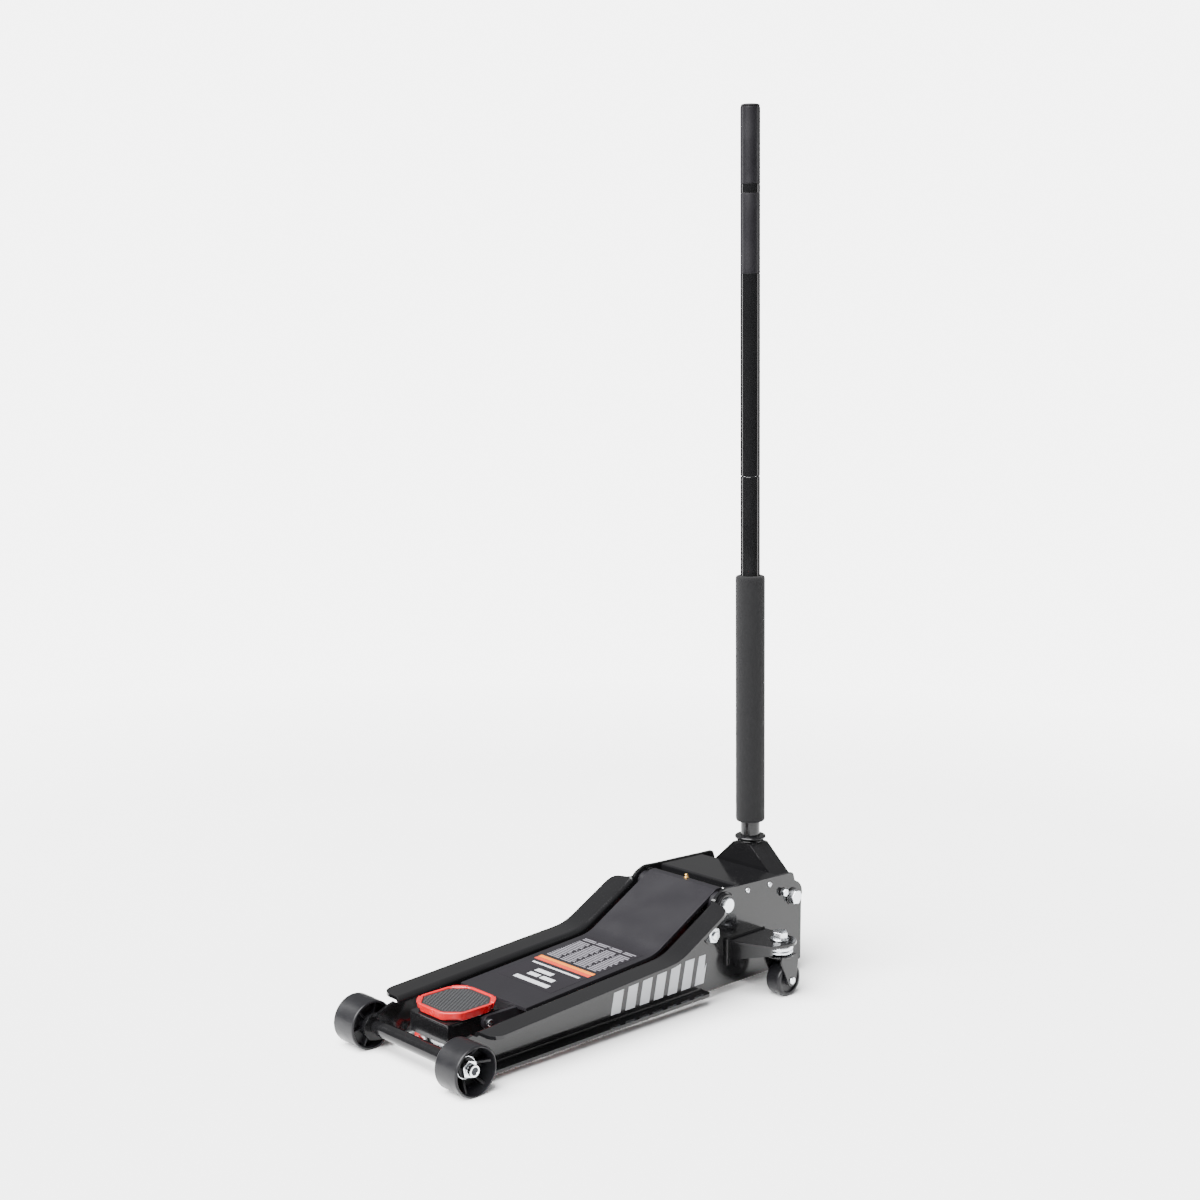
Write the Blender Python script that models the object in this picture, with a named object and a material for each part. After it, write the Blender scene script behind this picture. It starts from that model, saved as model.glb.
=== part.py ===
"""Hydraulic floor jack: every piece is one closed solid, sizes in metres, +Z up.

The working frame measures Y from the front axle, rearwards positive, and Z from
the ground.  CENTRE_Y moves the finished assembly so that the middle of its
outline stands on the origin.  The chassis is drawn level in that frame and the
whole jack is then pitched about the front axle, so that the casters, which stand
taller than the front wheels need, touch the ground too.
"""
import math

import bmesh
import bpy
from mathutils import Matrix, Vector

MM = 0.001
CENTRE_Y = 364.1484
ROUNDNESS = 0.6
PITCH = math.radians(1.1635)

# Chassis, in millimetres
WEB_IN = 90.0
WEB_OUT = 96.0
PLATE = 5.6
TOP_FLANGE_X = 135.7
BOTTOM_FLANGE_X = 118.0
BOTTOM_Z = 8.5
WEB_REAR_Z = 6.5
REAR_Y = 766.0
GAP = 0.3

# Front axle and wheels
AXLE_Z = 38.0
WHEEL_R = 38.0
WHEEL_IN = 97.7
WHEEL_OUT = 146.9
AXLE_R = 8.0
SLEEVE_R = 11.7

# Lift linkage: arm pivot, link anchor, saddle pin and link pin as (y, z)
ARM_PIVOT = (570.0, 146.0)
LINK_ANCHOR = (538.0, 102.5)
SADDLE_PIN = (99.0, 59.5)
LINK_PIN = (67.0, 16.0)
ARM_HALF = 77.0
ARM_SIDE_IN = 50.0
ARM_SIDE_OUT = 57.0
LEVER = 78.0
LEVER_ANGLE = math.radians(22.0)
LEVER_PIN = (ARM_PIVOT[0] + LEVER * math.sin(LEVER_ANGLE), ARM_PIVOT[1] - LEVER * math.cos(LEVER_ANGLE))

# Saddle
SADDLE_Y = 83.0
SADDLE_R = 59.6
SADDLE_TOP = 84.0

# Casters
SWIVEL = (152.0, 645.0)
TRAIL = 10.0
CASTER_R = 28.0
CASTER_Z = 14.7

# Handle
HANDLE_PIVOT = (742.0, 123.0)
HANDLE_LEAN = math.radians(1.01)
TUBE_R = 16.4
HANDLE_TOP = 1445.0

# Hydraulic unit
RAM_Z = 74.0
PLUNGER_X = 30.0
PLUNGER_Z = 95.0

for old in list(bpy.data.objects):
    bpy.data.objects.remove(old, do_unlink=True)

SLOTS = {}


def slot(name, rgb):
    """One flat colour per finish; the packed materials are matched by slot name."""
    if name not in SLOTS:
        mat = bpy.data.materials.new(name)
        mat.diffuse_color = (rgb[0], rgb[1], rgb[2], 1.0)
        SLOTS[name] = mat
    return SLOTS[name]


GLOSS = slot("gloss_enamel", (0.03, 0.03, 0.035))
MATT = slot("satin_powder_coat", (0.08, 0.08, 0.085))
CAST = slot("cast_iron_paint", (0.05, 0.05, 0.055))
ZINC = slot("zinc_plate", (0.75, 0.75, 0.76))
CHROME = slot("hard_chrome", (0.85, 0.85, 0.86))
RED = slot("red_enamel", (0.70, 0.03, 0.04))
RUBBER = slot("black_rubber", (0.09, 0.09, 0.09))
NYLON = slot("wheel_nylon", (0.06, 0.06, 0.065))
FOAM = slot("foam_grip", (0.12, 0.12, 0.125))
BRASS = slot("brass", (0.78, 0.60, 0.28))


def world(point):
    """Millimetres in the working frame to metres in the finished frame."""
    return Vector((point[0] * MM, (point[1] - CENTRE_Y) * MM, point[2] * MM))


def finish(name, bm, mat, hidden=False):
    """Clean a mesh, face it outwards and link it as one object."""
    bmesh.ops.remove_doubles(bm, verts=bm.verts, dist=1e-6)
    bmesh.ops.recalc_face_normals(bm, faces=bm.faces)
    mesh = bpy.data.meshes.new(name)
    bm.to_mesh(mesh)
    bm.free()
    obj = bpy.data.objects.new(name, mesh)
    bpy.context.scene.collection.objects.link(obj)
    if mat is not None:
        mesh.materials.append(mat)
    if hidden:
        obj.hide_render = True
        obj.display_type = "WIRE"
    return obj


def to_world(bm):
    """Scale and shift a mesh drawn in working millimetres."""
    bmesh.ops.translate(bm, verts=bm.verts, vec=(0.0, -CENTRE_Y, 0.0))
    bmesh.ops.scale(bm, verts=bm.verts, vec=(MM, MM, MM))
    return bm


AXES = {
    "x": (Vector((0, 1, 0)), Vector((0, 0, 1)), Vector((1, 0, 0))),
    "y": (Vector((1, 0, 0)), Vector((0, 0, 1)), Vector((0, 1, 0))),
    "z": (Vector((1, 0, 0)), Vector((0, 1, 0)), Vector((0, 0, 1))),
}


def prism(outline, axis, low, high):
    """Extrude an outline along an axis; the outline is in the two other axes."""
    first, second, along = AXES[axis]
    bm = bmesh.new()
    verts = [bm.verts.new(first * p[0] + second * p[1] + along * low) for p in outline]
    face = bm.faces.new(verts)
    made = bmesh.ops.extrude_face_region(bm, geom=[face])
    moved = [v for v in made["geom"] if isinstance(v, bmesh.types.BMVert)]
    bmesh.ops.translate(bm, verts=moved, vec=along * (high - low))
    return bm


def box(x0, x1, y0, y1, z0, z1):
    """An upright block."""
    return prism([(x0, y0), (x1, y0), (x1, y1), (x0, y1)], "z", z0, z1)


def turned(profile, base, direction, segments=32, phase=0.0):
    """Spin a closed (radius, distance) profile about an axis through base."""
    bm = bmesh.new()
    verts = [bm.verts.new((r, 0.0, t)) for r, t in profile]
    edges = [bm.edges.new((verts[i], verts[i + 1])) for i in range(len(verts) - 1)]
    if profile[0][0] > 1e-9:
        edges.append(bm.edges.new((verts[-1], verts[0])))
    steps = max(10, 2 * round(segments * ROUNDNESS / 2))
    bmesh.ops.spin(bm, geom=verts + edges, cent=(0, 0, 0), axis=(0, 0, 1),
                   angle=2 * math.pi, steps=steps, use_merge=True, use_duplicate=False)
    bmesh.ops.remove_doubles(bm, verts=bm.verts, dist=1e-5)
    bmesh.ops.rotate(bm, verts=bm.verts, cent=(0, 0, 0), matrix=Matrix.Rotation(phase, 3, "Z"))
    turn = Vector((0, 0, 1)).rotation_difference(Vector(direction).normalized())
    bmesh.ops.transform(bm, matrix=Matrix.Translation(Vector(base)) @ turn.to_matrix().to_4x4(),
                        verts=bm.verts)
    return bm


def rod(radius, length):
    """Profile of a plain bar with small end chamfers."""
    c = min(0.8, radius * 0.2)
    return [(0, 0), (radius - c, 0), (radius, c), (radius, length - c), (radius - c, length), (0, length)]


def tube(outer, inner, length):
    """Profile of a plain tube."""
    return [(inner, 0), (outer, 0), (outer, length), (inner, length)]


def arc(centre, radius, start, end, steps):
    """Points on an arc in degrees, counter-clockwise when end is above start."""
    points = []
    for i in range(steps + 1):
        a = math.radians(start + (end - start) * i / steps)
        points.append((centre[0] + radius * math.cos(a), centre[1] + radius * math.sin(a)))
    return points


def boolean(obj, tool, operation):
    """Apply one exact boolean with a closed tool and drop the tool."""
    mod = obj.modifiers.new(operation, "BOOLEAN")
    mod.operation = operation
    mod.solver = "EXACT"
    mod.object = tool
    deps = bpy.context.evaluated_depsgraph_get()
    mesh = bpy.data.meshes.new_from_object(obj.evaluated_get(deps))
    obj.modifiers.clear()
    mats = list(obj.data.materials)
    obj.data = mesh
    mesh.materials.clear()
    for mat in mats:
        mesh.materials.append(mat)
    bpy.data.objects.remove(tool, do_unlink=True)
    return obj


def piece(name, bm, mat):
    """A finished node from a mesh in working millimetres."""
    return finish(name, to_world(bm), mat)


def add(obj, bm):
    """Weld a closed shape on."""
    return boolean(obj, finish("tool", to_world(bm), None, True), "UNION")


def cut(obj, bm):
    """Take a closed shape away."""
    return boolean(obj, finish("tool", to_world(bm), None, True), "DIFFERENCE")


def keep(obj, bm):
    """Keep only what lies inside a closed shape."""
    return boolean(obj, finish("tool", to_world(bm), None, True), "INTERSECT")


def hole(obj, centre, direction, radius, length, segments=24):
    """Bore a round hole that starts at centre."""
    return cut(obj, turned(rod_plain(radius, length), centre, direction, segments, 0.047))


def rod_plain(radius, length):
    """Profile of a bar without chamfers."""
    return [(0, 0), (radius, 0), (radius, length), (0, length)]


def mirrored(name, obj):
    """The same piece on the other side of the centre plane."""
    bm = bmesh.new()
    bm.from_mesh(obj.data)
    bmesh.ops.scale(bm, verts=bm.verts, vec=(-1, 1, 1))
    bmesh.ops.reverse_faces(bm, faces=bm.faces)
    return finish(name, bm, obj.data.materials[0])


def pair(stem, obj):
    """Name one side and make the other."""
    obj.name = stem + "_right"
    return obj, mirrored(stem + "_left", obj)


def hexagon(radius, angle=0.0):
    """Corners of a hexagon."""
    return [(radius * math.cos(math.radians(angle + 60 * i)), radius * math.sin(math.radians(angle + 60 * i)))
            for i in range(6)]


def bolt_x(name, centre, x_in, x_face, head, shank_r, head_r, mat, washer_r=0.0):
    """A bolt along X: shank from x_in to x_face, washer and hex head outside."""
    y, z = centre
    washer = 2.2 if washer_r else 0.0
    obj = piece(name, turned([(0, 0), (shank_r, 0), (shank_r, x_face - x_in + washer * 0.5),
                              (0, x_face - x_in + washer * 0.5)], (x_in, y, z), (1, 0, 0), 20), mat)
    if washer_r:
        add(obj, turned(rod_plain(washer_r, washer), (x_face + GAP, y, z), (1, 0, 0), 28))
    outline = [(y + a, z + b) for a, b in hexagon(head_r, 12.0)]
    base = x_face + GAP + washer * 0.8
    bm = prism(outline, "x", base, base + head)
    return add(obj, bm)


# ---------------------------------------------------------------- side plates
def plate_top(y):
    """Height of the side plate's top edge."""
    table = [(-30, 66.0), (45, 71.8), (360, 89.5), (400, 91.4), (420, 93.6), (437, 99.0), (470, 116.5),
             (518, 142.0), (541, 155.0), (561, 167.5), (571, 172.0), (603, 169.8), (735, 164.8)]
    for (ya, za), (yb, zb) in zip(table, table[1:]):
        if y <= yb:
            return za + (zb - za) * (y - ya) / (yb - ya)
    return table[-1][1]


top_edge = [45, 200, 360, 400, 420, 437, 470, 518, 541, 561, 571, 603, 735]
nose = arc((0, AXLE_Z), 21.0, 250, 120, 8)
web_outline = list(nose)
web_outline += [(12, 62.0), (30, 69.0)]
web_outline += [(y, plate_top(y)) for y in top_edge]
web_outline += [(742, 163.0), (745.5, 158.5), (747, 150.5)]
web_outline += arc((HANDLE_PIVOT[0] + 2, HANDLE_PIVOT[1] + 2), 24.0, 70, 8, 4)
web_outline += [(REAR_Y, 120), (REAR_Y, 16), (763, 10), (757, WEB_REAR_Z), (530, WEB_REAR_Z)]
web_outline += [(518, BOTTOM_Z), (45, BOTTOM_Z), (20, 13)]
web_outline.reverse()
side = piece("side_plate_right", prism(web_outline, "x", WEB_IN, WEB_OUT), GLOSS)

flange_y = [44, 200, 360, 400, 420, 437, 470, 518, 545]
strip = [(y, plate_top(y)) for y in flange_y]
strip += [(y + 1.2, plate_top(y) - PLATE) for y in reversed(flange_y)]
flange = piece("flange", prism(strip, "x", WEB_IN + 1, TOP_FLANGE_X), GLOSS)
plan = [(WEB_IN, 30), (112, 40)] + arc((TOP_FLANGE_X - 16, 60), 16.0, -70, 0, 4)
plan += [(TOP_FLANGE_X, 528), (133, 536), (127, 541), (WEB_IN, 543)]
flange = keep(flange, prism(plan, "z", 40, 200))
side = boolean(side, flange, "UNION")
foot = [(WEB_IN + 1, 46), (112, 46), (BOTTOM_FLANGE_X, 52), (BOTTOM_FLANGE_X, 512), (113, 518), (WEB_IN + 1, 518)]
add(side, prism(foot, "z", BOTTOM_Z, BOTTOM_Z + PLATE))
hole(side, (WEB_IN - 2, 0, AXLE_Z), (1, 0, 0), AXLE_R + 0.3, 12)
hole(side, (WEB_IN - 2, ARM_PIVOT[0], ARM_PIVOT[1]), (1, 0, 0), 13.4, 60)
hole(side, (WEB_IN - 2, LINK_ANCHOR[0], LINK_ANCHOR[1]), (1, 0, 0), 7.4, 12)
hole(side, (WEB_IN - 2, HANDLE_PIVOT[0], HANDLE_PIVOT[1]), (1, 0, 0), 8.4, 12)
pair("side_plate", side)

# ---------------------------------------------------------------- front axle
sleeve = [(AXLE_R + 0.4, 0), (10.2, 0), (10.2, 9), (SLEEVE_R, 12), (SLEEVE_R, 167), (10.2, 170), (10.2, 179),
          (AXLE_R + 0.4, 179)]
piece("axle_sleeve", turned(sleeve, (-89.5, 0, AXLE_Z), (1, 0, 0)), GLOSS)
piece("front_axle", turned(rod(AXLE_R, 286), (-143, 0, AXLE_Z), (1, 0, 0), 24), ZINC)
wheel = [(AXLE_R + 0.5, 0), (13, 0), (13, 4), (30, 4), (32, 0), (36, 0), (WHEEL_R, 2.5), (WHEEL_R, 46.5),
         (36.8, 49.2), (34.8, 49.2), (33.6, 20), (14, 17), (14, 23.5), (AXLE_R + 0.5, 23.5)]
pair("front_wheel", piece("w", turned(wheel, (WHEEL_IN, 0, AXLE_Z), (1, 0, 0), 48), NYLON))
nut = piece("n", prism([(a, AXLE_Z + b) for a, b in hexagon(14.0, 8)], "x", 123.5, 133.5), ZINC)
add(nut, turned(rod_plain(16.0, 2.4), (121.6, 0, AXLE_Z), (1, 0, 0), 28))
hole(nut, (120, 0, AXLE_Z), (1, 0, 0), AXLE_R + 0.3, 16)
pair("axle_nut", nut)

# ---------------------------------------------------------------- lift arm
arm_line = [(154, 72.5), (426, 89.5), (572.0, 168.6), (584, 168.0), (592, 158.0)]
arm_low = [(586.5, 155.5), (580, 162.3), (573.6, 162.0), (427.4, 83.3), (154, 66.5)]
arm = piece("lift_arm", prism(arm_line + arm_low, "x", -ARM_HALF, ARM_HALF), MATT)
eye = arc(SADDLE_PIN, 11.0, 260, 100, 6)
cheek = eye + [(154, 70.0), (427, 86.2), (570, 164.0), (584, 163.0)]
cheek += arc(ARM_PIVOT, 23.0, 40, -10, 4)
cheek += arc(LEVER_PIN, 14.0, 20, -150, 6)
cheek += [(560, 104), (500, 74), (400, 45), (250, 38), (130, 45)]
cheek.reverse()
for x0, x1 in ((ARM_SIDE_IN, ARM_SIDE_OUT), (-ARM_SIDE_OUT, -ARM_SIDE_IN)):
    add(arm, prism(cheek, "x", x0, x1))
hub_x = 89.0
add(arm, turned(rod_plain(17.5, 2 * hub_x), (-hub_x, ARM_PIVOT[0], ARM_PIVOT[1]), (1, 0, 0), 32))
hole(arm, (-100, ARM_PIVOT[0], ARM_PIVOT[1]), (1, 0, 0), 13.4, 200, 32)
add(arm, box(-50.5, 50.5, 155.0, 159.0, 44.0, 68.0))
hole(arm, (-70, SADDLE_PIN[0], SADDLE_PIN[1]), (1, 0, 0), 5.9, 140)
hole(arm, (-70, LEVER_PIN[0], LEVER_PIN[1]), (1, 0, 0), 9.4, 140)
hole(arm, (0, 580.0, 150.0), (0, 0, 1), 3.4, 30, 12)
shaft = turned(rod(13.0, 214), (-107, ARM_PIVOT[0], ARM_PIVOT[1]), (1, 0, 0), 32)
piece("arm_pivot_shaft", shaft, ZINC)
collar = [(13.4, 0), (21, 0), (21, 5), (19, 7), (13.4, 7)]
pair("pivot_collar", piece("c", turned(collar, (WEB_OUT + GAP, ARM_PIVOT[0], ARM_PIVOT[1]), (1, 0, 0)), GLOSS))
piece("lever_pin", turned(rod(9.0, 122), (-61, LEVER_PIN[0], LEVER_PIN[1]), (1, 0, 0), 24), ZINC)
fitting = [(0, 0), (3.0, 0), (3.0, 5.5), (5.2, 5.5), (5.2, 9), (3, 9.5), (3, 12), (3.6, 13.5), (2, 15), (0, 15)]
piece("grease_fitting", turned(fitting, (0, 580.0, 163.0), (0, 0, 1), 12), BRASS)

# ---------------------------------------------------------------- saddle
bracket = piece("saddle_bracket", box(-45, 45, 30, 130, 65.5, 69.5), GLOSS)
ear = [(30, 36), (30, 68), (130, 68), (130, 58), (118, 47), (92, 44), (77, 20)]
ear += arc(LINK_PIN, 9.5, -20, -180, 5)
ear += [(56, 26), (46, 36)]
for x0, x1 in ((39, 45), (-45, -39)):
    add(bracket, prism(ear, "x", x0, x1))
add(bracket, box(-44, 44, 30, 36, 36, 68))
hole(bracket, (-50, SADDLE_PIN[0], SADDLE_PIN[1]), (1, 0, 0), 5.9, 100)
hole(bracket, (-50, LINK_PIN[0], LINK_PIN[1]), (1, 0, 0), 5.9, 100)
hole(bracket, (0, SADDLE_Y, 60), (0, 0, 1), 11.4, 15)
piece("saddle_pin", turned(rod(5.5, 122), (-61, SADDLE_PIN[0], SADDLE_PIN[1]), (1, 0, 0), 20), ZINC)
piece("link_pin", turned(rod(5.5, 148), (-74, LINK_PIN[0], LINK_PIN[1]), (1, 0, 0), 20), ZINC)


def cup_outline(radius, tips, flat):
    """Octagon with four narrow tips at the diagonals and long flats between."""
    points = []
    for i in range(4):
        a = 45.0 + 90.0 * i
        for d in (-tips, 0.0, tips):
            r = radius if d == 0.0 else radius * flat
            t = math.radians(a + d)
            points.append((r * math.cos(t), SADDLE_Y + r * math.sin(t)))
    return points


cup = piece("saddle_cup", prism(cup_outline(SADDLE_R, 17, 0.985), "z", 71.0, SADDLE_TOP), RED)
cut(cup, prism(cup_outline(SADDLE_R - 6.0, 17, 0.985), "z", 75.4, SADDLE_TOP + 5))
add(cup, turned(rod_plain(11.0, 9.5), (0, SADDLE_Y, 62.5), (0, 0, 1), 24))
piece("saddle_pad", prism(cup_outline(SADDLE_R - 6.4, 17, 0.985), "z", 75.7, SADDLE_TOP + 0.6), RUBBER)

# ---------------------------------------------------------------- link rods
link_path = [(LINK_PIN[0] + 2.5, LINK_PIN[1] + 0.4), (250, 30), (400, 50), (450, 64), (LINK_ANCHOR[0] - 3.0, LINK_ANCHOR[1] - 1.2)]
bar = []
for y, z in link_path:
    bar.append((y, z - 4.5))
for y, z in reversed(link_path):
    bar.append((y, z + 4.5))
link = piece("link", prism(bar, "x", 62.5, 70.5), RED)
add(link, turned(rod_plain(9.0, 9.0), (62, LINK_PIN[0], LINK_PIN[1]), (1, 0, 0), 24))
add(link, turned(rod_plain(12.5, 18.0), (62, LINK_ANCHOR[0], LINK_ANCHOR[1]), (1, 0, 0), 24))
hole(link, (55, LINK_PIN[0], LINK_PIN[1]), (1, 0, 0), 5.9, 25)
hole(link, (55, LINK_ANCHOR[0], LINK_ANCHOR[1]), (1, 0, 0), 7.4, 35)
pair("link_rod", link)
pair("link_anchor_bolt", bolt_x("b", LINK_ANCHOR, 61.5, WEB_OUT, 11.0, 7.0, 12.5, ZINC, 16.0))

# ---------------------------------------------------------------- rear cover
cover_line = [(611, 158), (611, 167.0), (615, 168.6), (712, 164.9), (716, 163.0), (716, 155)]
cover_in = [(713, 155), (713, 161.3), (615.5, 165.2), (614, 163.5), (614, 158)]
cover = piece("rear_cover", prism(list(reversed(cover_line + cover_in)), "x", -89.6, 89.6), GLOSS)
for x0, x1 in ((86.6, 89.6), (-89.6, -86.6)):
    skirt = [(611, 149), (611, 165.5), (615, 167.0), (712, 163.4), (716, 161.0), (716, 147)]
    add(cover, prism(list(reversed(skirt)), "x", x0, x1))

# ---------------------------------------------------------------- casters
sx, sy = SWIVEL
seat = [(WEB_OUT + GAP, 578), (100, 578), (168, 606), (176, 618)]
seat += arc(SWIVEL, 28.0, -10, 80, 6)
seat += [(130, 674), (WEB_OUT + GAP, 672)]
mount = piece("caster_bracket", prism(seat, "z", 77.5, 83.0), GLOSS)
apron = [(WEB_OUT + GAP, 578), (100, 578), (169, 606), (169, 612.5), (99, 584), (WEB_OUT + GAP, 584)]
front = piece("apron", prism(apron, "z", 48, 81), GLOSS)
keep(front, prism([(90, 48), (110, 50), (170, 67), (170, 82), (90, 82)], "y", 560, 640))
mount = boolean(mount, front, "UNION")
add(mount, box(WEB_OUT + GAP, WEB_OUT + 5, 572, 579, 42, 88))
hole(mount, (sx, sy, 60), (0, 0, 1), 8.3, 30)
pair("caster_bracket", mount)
stem = [(0, 0), (10.4, 0), (10.4, 2.0), (7.8, 2.4), (7.8, 30.8), (16.0, 30.8), (16.0, 33.0), (0, 33.0)]
stud = piece("caster_stud", turned(stem, (sx, sy, 52.6), (0, 0, 1), 28), ZINC)
add(stud, prism([(sx + a, sy + b) for a, b in hexagon(13.2, 20)], "z", 85.0, 97.5))
pair("caster_stud", stud)
race = [(8.2, 0), (18, 0), (22, 3), (22, 13.6), (19, 16.8), (8.2, 16.8)]
pair("swivel_race", piece("r", turned(race, (sx, sy, 60.4), (0, 0, 1), 32), ZINC))
fork_profile = [(8.2, 0), (22.5, 0), (22.5, 4.6), (8.2, 4.6)]
fork = piece("caster_fork", turned(fork_profile, (sx, sy, 55.3), (0, 0, 1), 32), GLOSS)
leg = [(sy - 16, 59.0), (sy - 15, 48.0)] + arc((sy + TRAIL, CASTER_Z), 10.0, 195, 350, 6)
leg += [(sy + 25, 46.0), (sy + 18, 59.0)]
for x0, x1 in ((sx + 16.4, sx + 19.6), (sx - 19.6, sx - 16.4)):
    add(fork, prism(leg, "x", x0, x1))
hole(fork, (sx - 30, sy + TRAIL, CASTER_Z), (1, 0, 0), 4.4, 60, 16)
pair("caster_fork", fork)
roller = [(4.6, 0), (9, 0), (9, 2), (21, 2), (22.5, 0.6), (26, 0.6), (CASTER_R, 3), (CASTER_R, 27),
          (26, 29.4), (22.5, 29.4), (21, 28), (9, 28), (9, 30), (4.6, 30)]
pair("caster_wheel", piece("cw", turned(roller, (sx - 15, sy + TRAIL, CASTER_Z), (1, 0, 0), 40), NYLON))
pin = [(0, 0), (6.0, 0), (6.0, 2.4), (4.1, 2.7), (4.1, 42.2), (6.0, 42.5), (6.0, 44.6), (0, 44.6)]
pair("caster_axle", piece("cp", turned(pin, (sx - 22.5, sy + TRAIL, CASTER_Z), (1, 0, 0), 20), ZINC))

# ---------------------------------------------------------------- handle socket
hy, hz = HANDLE_PIVOT
front_view = [(-19, 201.6), (-87.4, 138), (-87.4, 100), (87.4, 100), (87.4, 138), (19, 201.6)]
socket = piece("handle_socket", prism(front_view, "y", hy - 24, hy + 24), GLOSS)
inner = [(-15, 195.6), (-80.4, 134), (-80.4, 80), (80.4, 80), (80.4, 134), (15, 195.6)]
cut(socket, prism(inner, "y", hy - 16.6, hy + 16.6))
cut(socket, prism([(-76, 80), (-76, 118), (-40, 142), (40, 142), (76, 118), (76, 80)], "y", hy - 27, hy + 27))
eye_side = arc((hy, hz), 20.6, 180, 360, 10) + [(hy + 20.6, 210), (hy - 20.6, 210)]
keep(socket, prism(eye_side, "x", -95, 95))
add(socket, turned(rod_plain(20.0, 56.0), (0, hy, 146), (0, 0, 1), 32))
cam = turned(rod_plain(8.0, 59.0), (22, hy, 95), (1, 0, 0), 20)
add(socket, cam)
tongue = [(hy - 11, 127), (hy - 10, 97), (hy - 8, 88), (hy + 1, 86), (hy + 8, 88.5), (hy + 10, 97), (hy + 11, 127.5)]
add(socket, prism(tongue, "x", 79.1, 86.3))
hole(socket, (0, hy, 130), (0, 0, 1), TUBE_R + 0.4, 90, 32)
hole(socket, (-100, hy, hz), (1, 0, 0), 8.4, 40)
hole(socket, (60, hy, hz), (1, 0, 0), 8.4, 40)


def lean(obj):
    """Tip a piece of the handle forward about its pivot."""
    pivot = world((0, hy, hz))
    turn = Matrix.Translation(pivot) @ Matrix.Rotation(HANDLE_LEAN, 4, "X") @ Matrix.Translation(-pivot)
    obj.data.transform(turn)
    return obj


lean(socket)
ring = [(TUBE_R + 0.4, 0), (24.5, 0), (26.8, 2), (26.8, 7), (24.5, 10), (TUBE_R + 0.4, 10)]
lean(piece("socket_ring", turned(ring, (0, hy, 202.4), (0, 0, 1)), GLOSS))
bolt = bolt_x("b", HANDLE_PIVOT, 76.0, WEB_OUT, 9.0, 8.0, 13.0, ZINC, 15.5)
pair("socket_bolt", bolt)
clip = piece("c", box(WEB_OUT + GAP, WEB_OUT + 2.6, 708, 724, 130, 137.5), GLOSS)
add(clip, turned(rod_plain(4.0, 4), (WEB_OUT + 2, 716, 136), (1, 0, 0), 16))
add(clip, prism([(716 + a, 136 + b) for a, b in hexagon(7.0, 10)], "x", WEB_OUT + 2.2, WEB_OUT + 9))
pair("bolt_keeper", clip)

# ---------------------------------------------------------------- handle
low = tube(TUBE_R, 13.2, 665)
lean(piece("lower_handle", turned(low, (0, hy, 170), (0, 0, 1), 28), GLOSS))
top = tube(TUBE_R, 12.6, HANDLE_TOP - 841.6)
lean(piece("upper_handle", turned(top, (0, hy, 836.0), (0, 0, 1), 28), GLOSS))
spigot = [(0, 0), (12.2, 0), (12.2, 150), (0, 150)]
lean(piece("handle_spigot", turned(spigot, (0, hy, 761), (0, 0, 1), 24), ZINC))
cap = [(0, 0), (11.8, 0), (12.2, 8), (15.8, 8.4), (14.6, 11.6), (0, 11.8)]
lean(piece("handle_cap", turned(cap, (0, hy, 1431.8), (0, 0, 1), 28), RUBBER))
grip = [(TUBE_R + 0.3, 0), (23.6, 0), (25.0, 1.5), (25.0, 427), (23.6, 428.5), (TUBE_R + 0.3, 428.5)]
lean(piece("foam_grip", turned(grip, (0, hy, 238.0), (0, 0, 1), 32), FOAM))
drive = [(0, 0), (6.5, 0), (8, 2), (8, 33), (12.6, 34.5), (12.6, 52), (0, 52)]
lean(piece("release_drive", turned(drive, (0, hy, 131.5), (0, 0, 1), 24), ZINC))

# ---------------------------------------------------------------- hydraulic unit
piece("unit_base", box(-89.4, 89.4, 640, 716, 24.0, 30.0), GLOSS)
block = piece("pump_block", box(-48, 48, 655, 700, 30.4, 112), CAST)
hole(block, (0, 640, RAM_Z), (0, 1, 0), 15.4, 55, 32)
hole(block, (PLUNGER_X, 662, PLUNGER_Z), (0, 1, 0), 8.3, 50)
cylinder = [(15.4, 0), (33, 0), (35, 2), (35, 31.7), (15.4, 31.7)]
piece("hydraulic_cylinder", turned(cylinder, (0, 622.8, RAM_Z), (0, 1, 0), 40), CAST)
ram = turned(rod(15.0, 75.5), (0, 618.6, RAM_Z), (0, 1, 0), 32)
piece("ram_rod", ram, CHROME)
head_y = LEVER_PIN[0] + 9.5
piece("ram_head", box(-30, 30, head_y, 618.2, 56, 92), CAST)
plunger = [(0, 0), (8, 0), (8, 36.2), (11, 36.2), (11, 41.4), (0, 41.4)]
piece("pump_plunger", turned(plunger, (PLUNGER_X, 690.4, PLUNGER_Z), (0, 1, 0), 24), CHROME)
stem_end = Vector((0, hy, hz))
stem_low = Vector((0, 706.4, 98.6))
reach = (stem_end - stem_low).length
valve = [(0, 0), (8.5, 0), (8.5, 4), (4.5, 6), (4.5, reach - 4), (6.6, reach - 2.6), (6.6, reach + 2.6),
         (4.0, reach + 5.0), (0, reach + 5.5)]
stem_obj = piece("release_valve", turned(valve, stem_low, stem_end - stem_low, 20), ZINC)
tie = turned(rod(7.0, 179), (-89.5, 330, 20), (1, 0, 0), 20)
piece("frame_tie", tie, GLOSS)

# ---------------------------------------------------------------- pitch
axle = world((0, 0, AXLE_Z))
tilt = Matrix.Translation(axle) @ Matrix.Rotation(PITCH, 4, "X") @ Matrix.Translation(-axle)
for obj in bpy.data.objects:
    obj.data.transform(tilt)
    obj.data.polygons.foreach_set("use_smooth", [False] * len(obj.data.polygons))
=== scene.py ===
"""Looks of a hydraulic floor jack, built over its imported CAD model.

Sizes are millimetres in a working frame: X across, Y rearwards from the front
axle, Z up from the floor.  `to_frame` pitches them about the front axle and turns
them into metres in the CAD's frame.
"""

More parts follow.
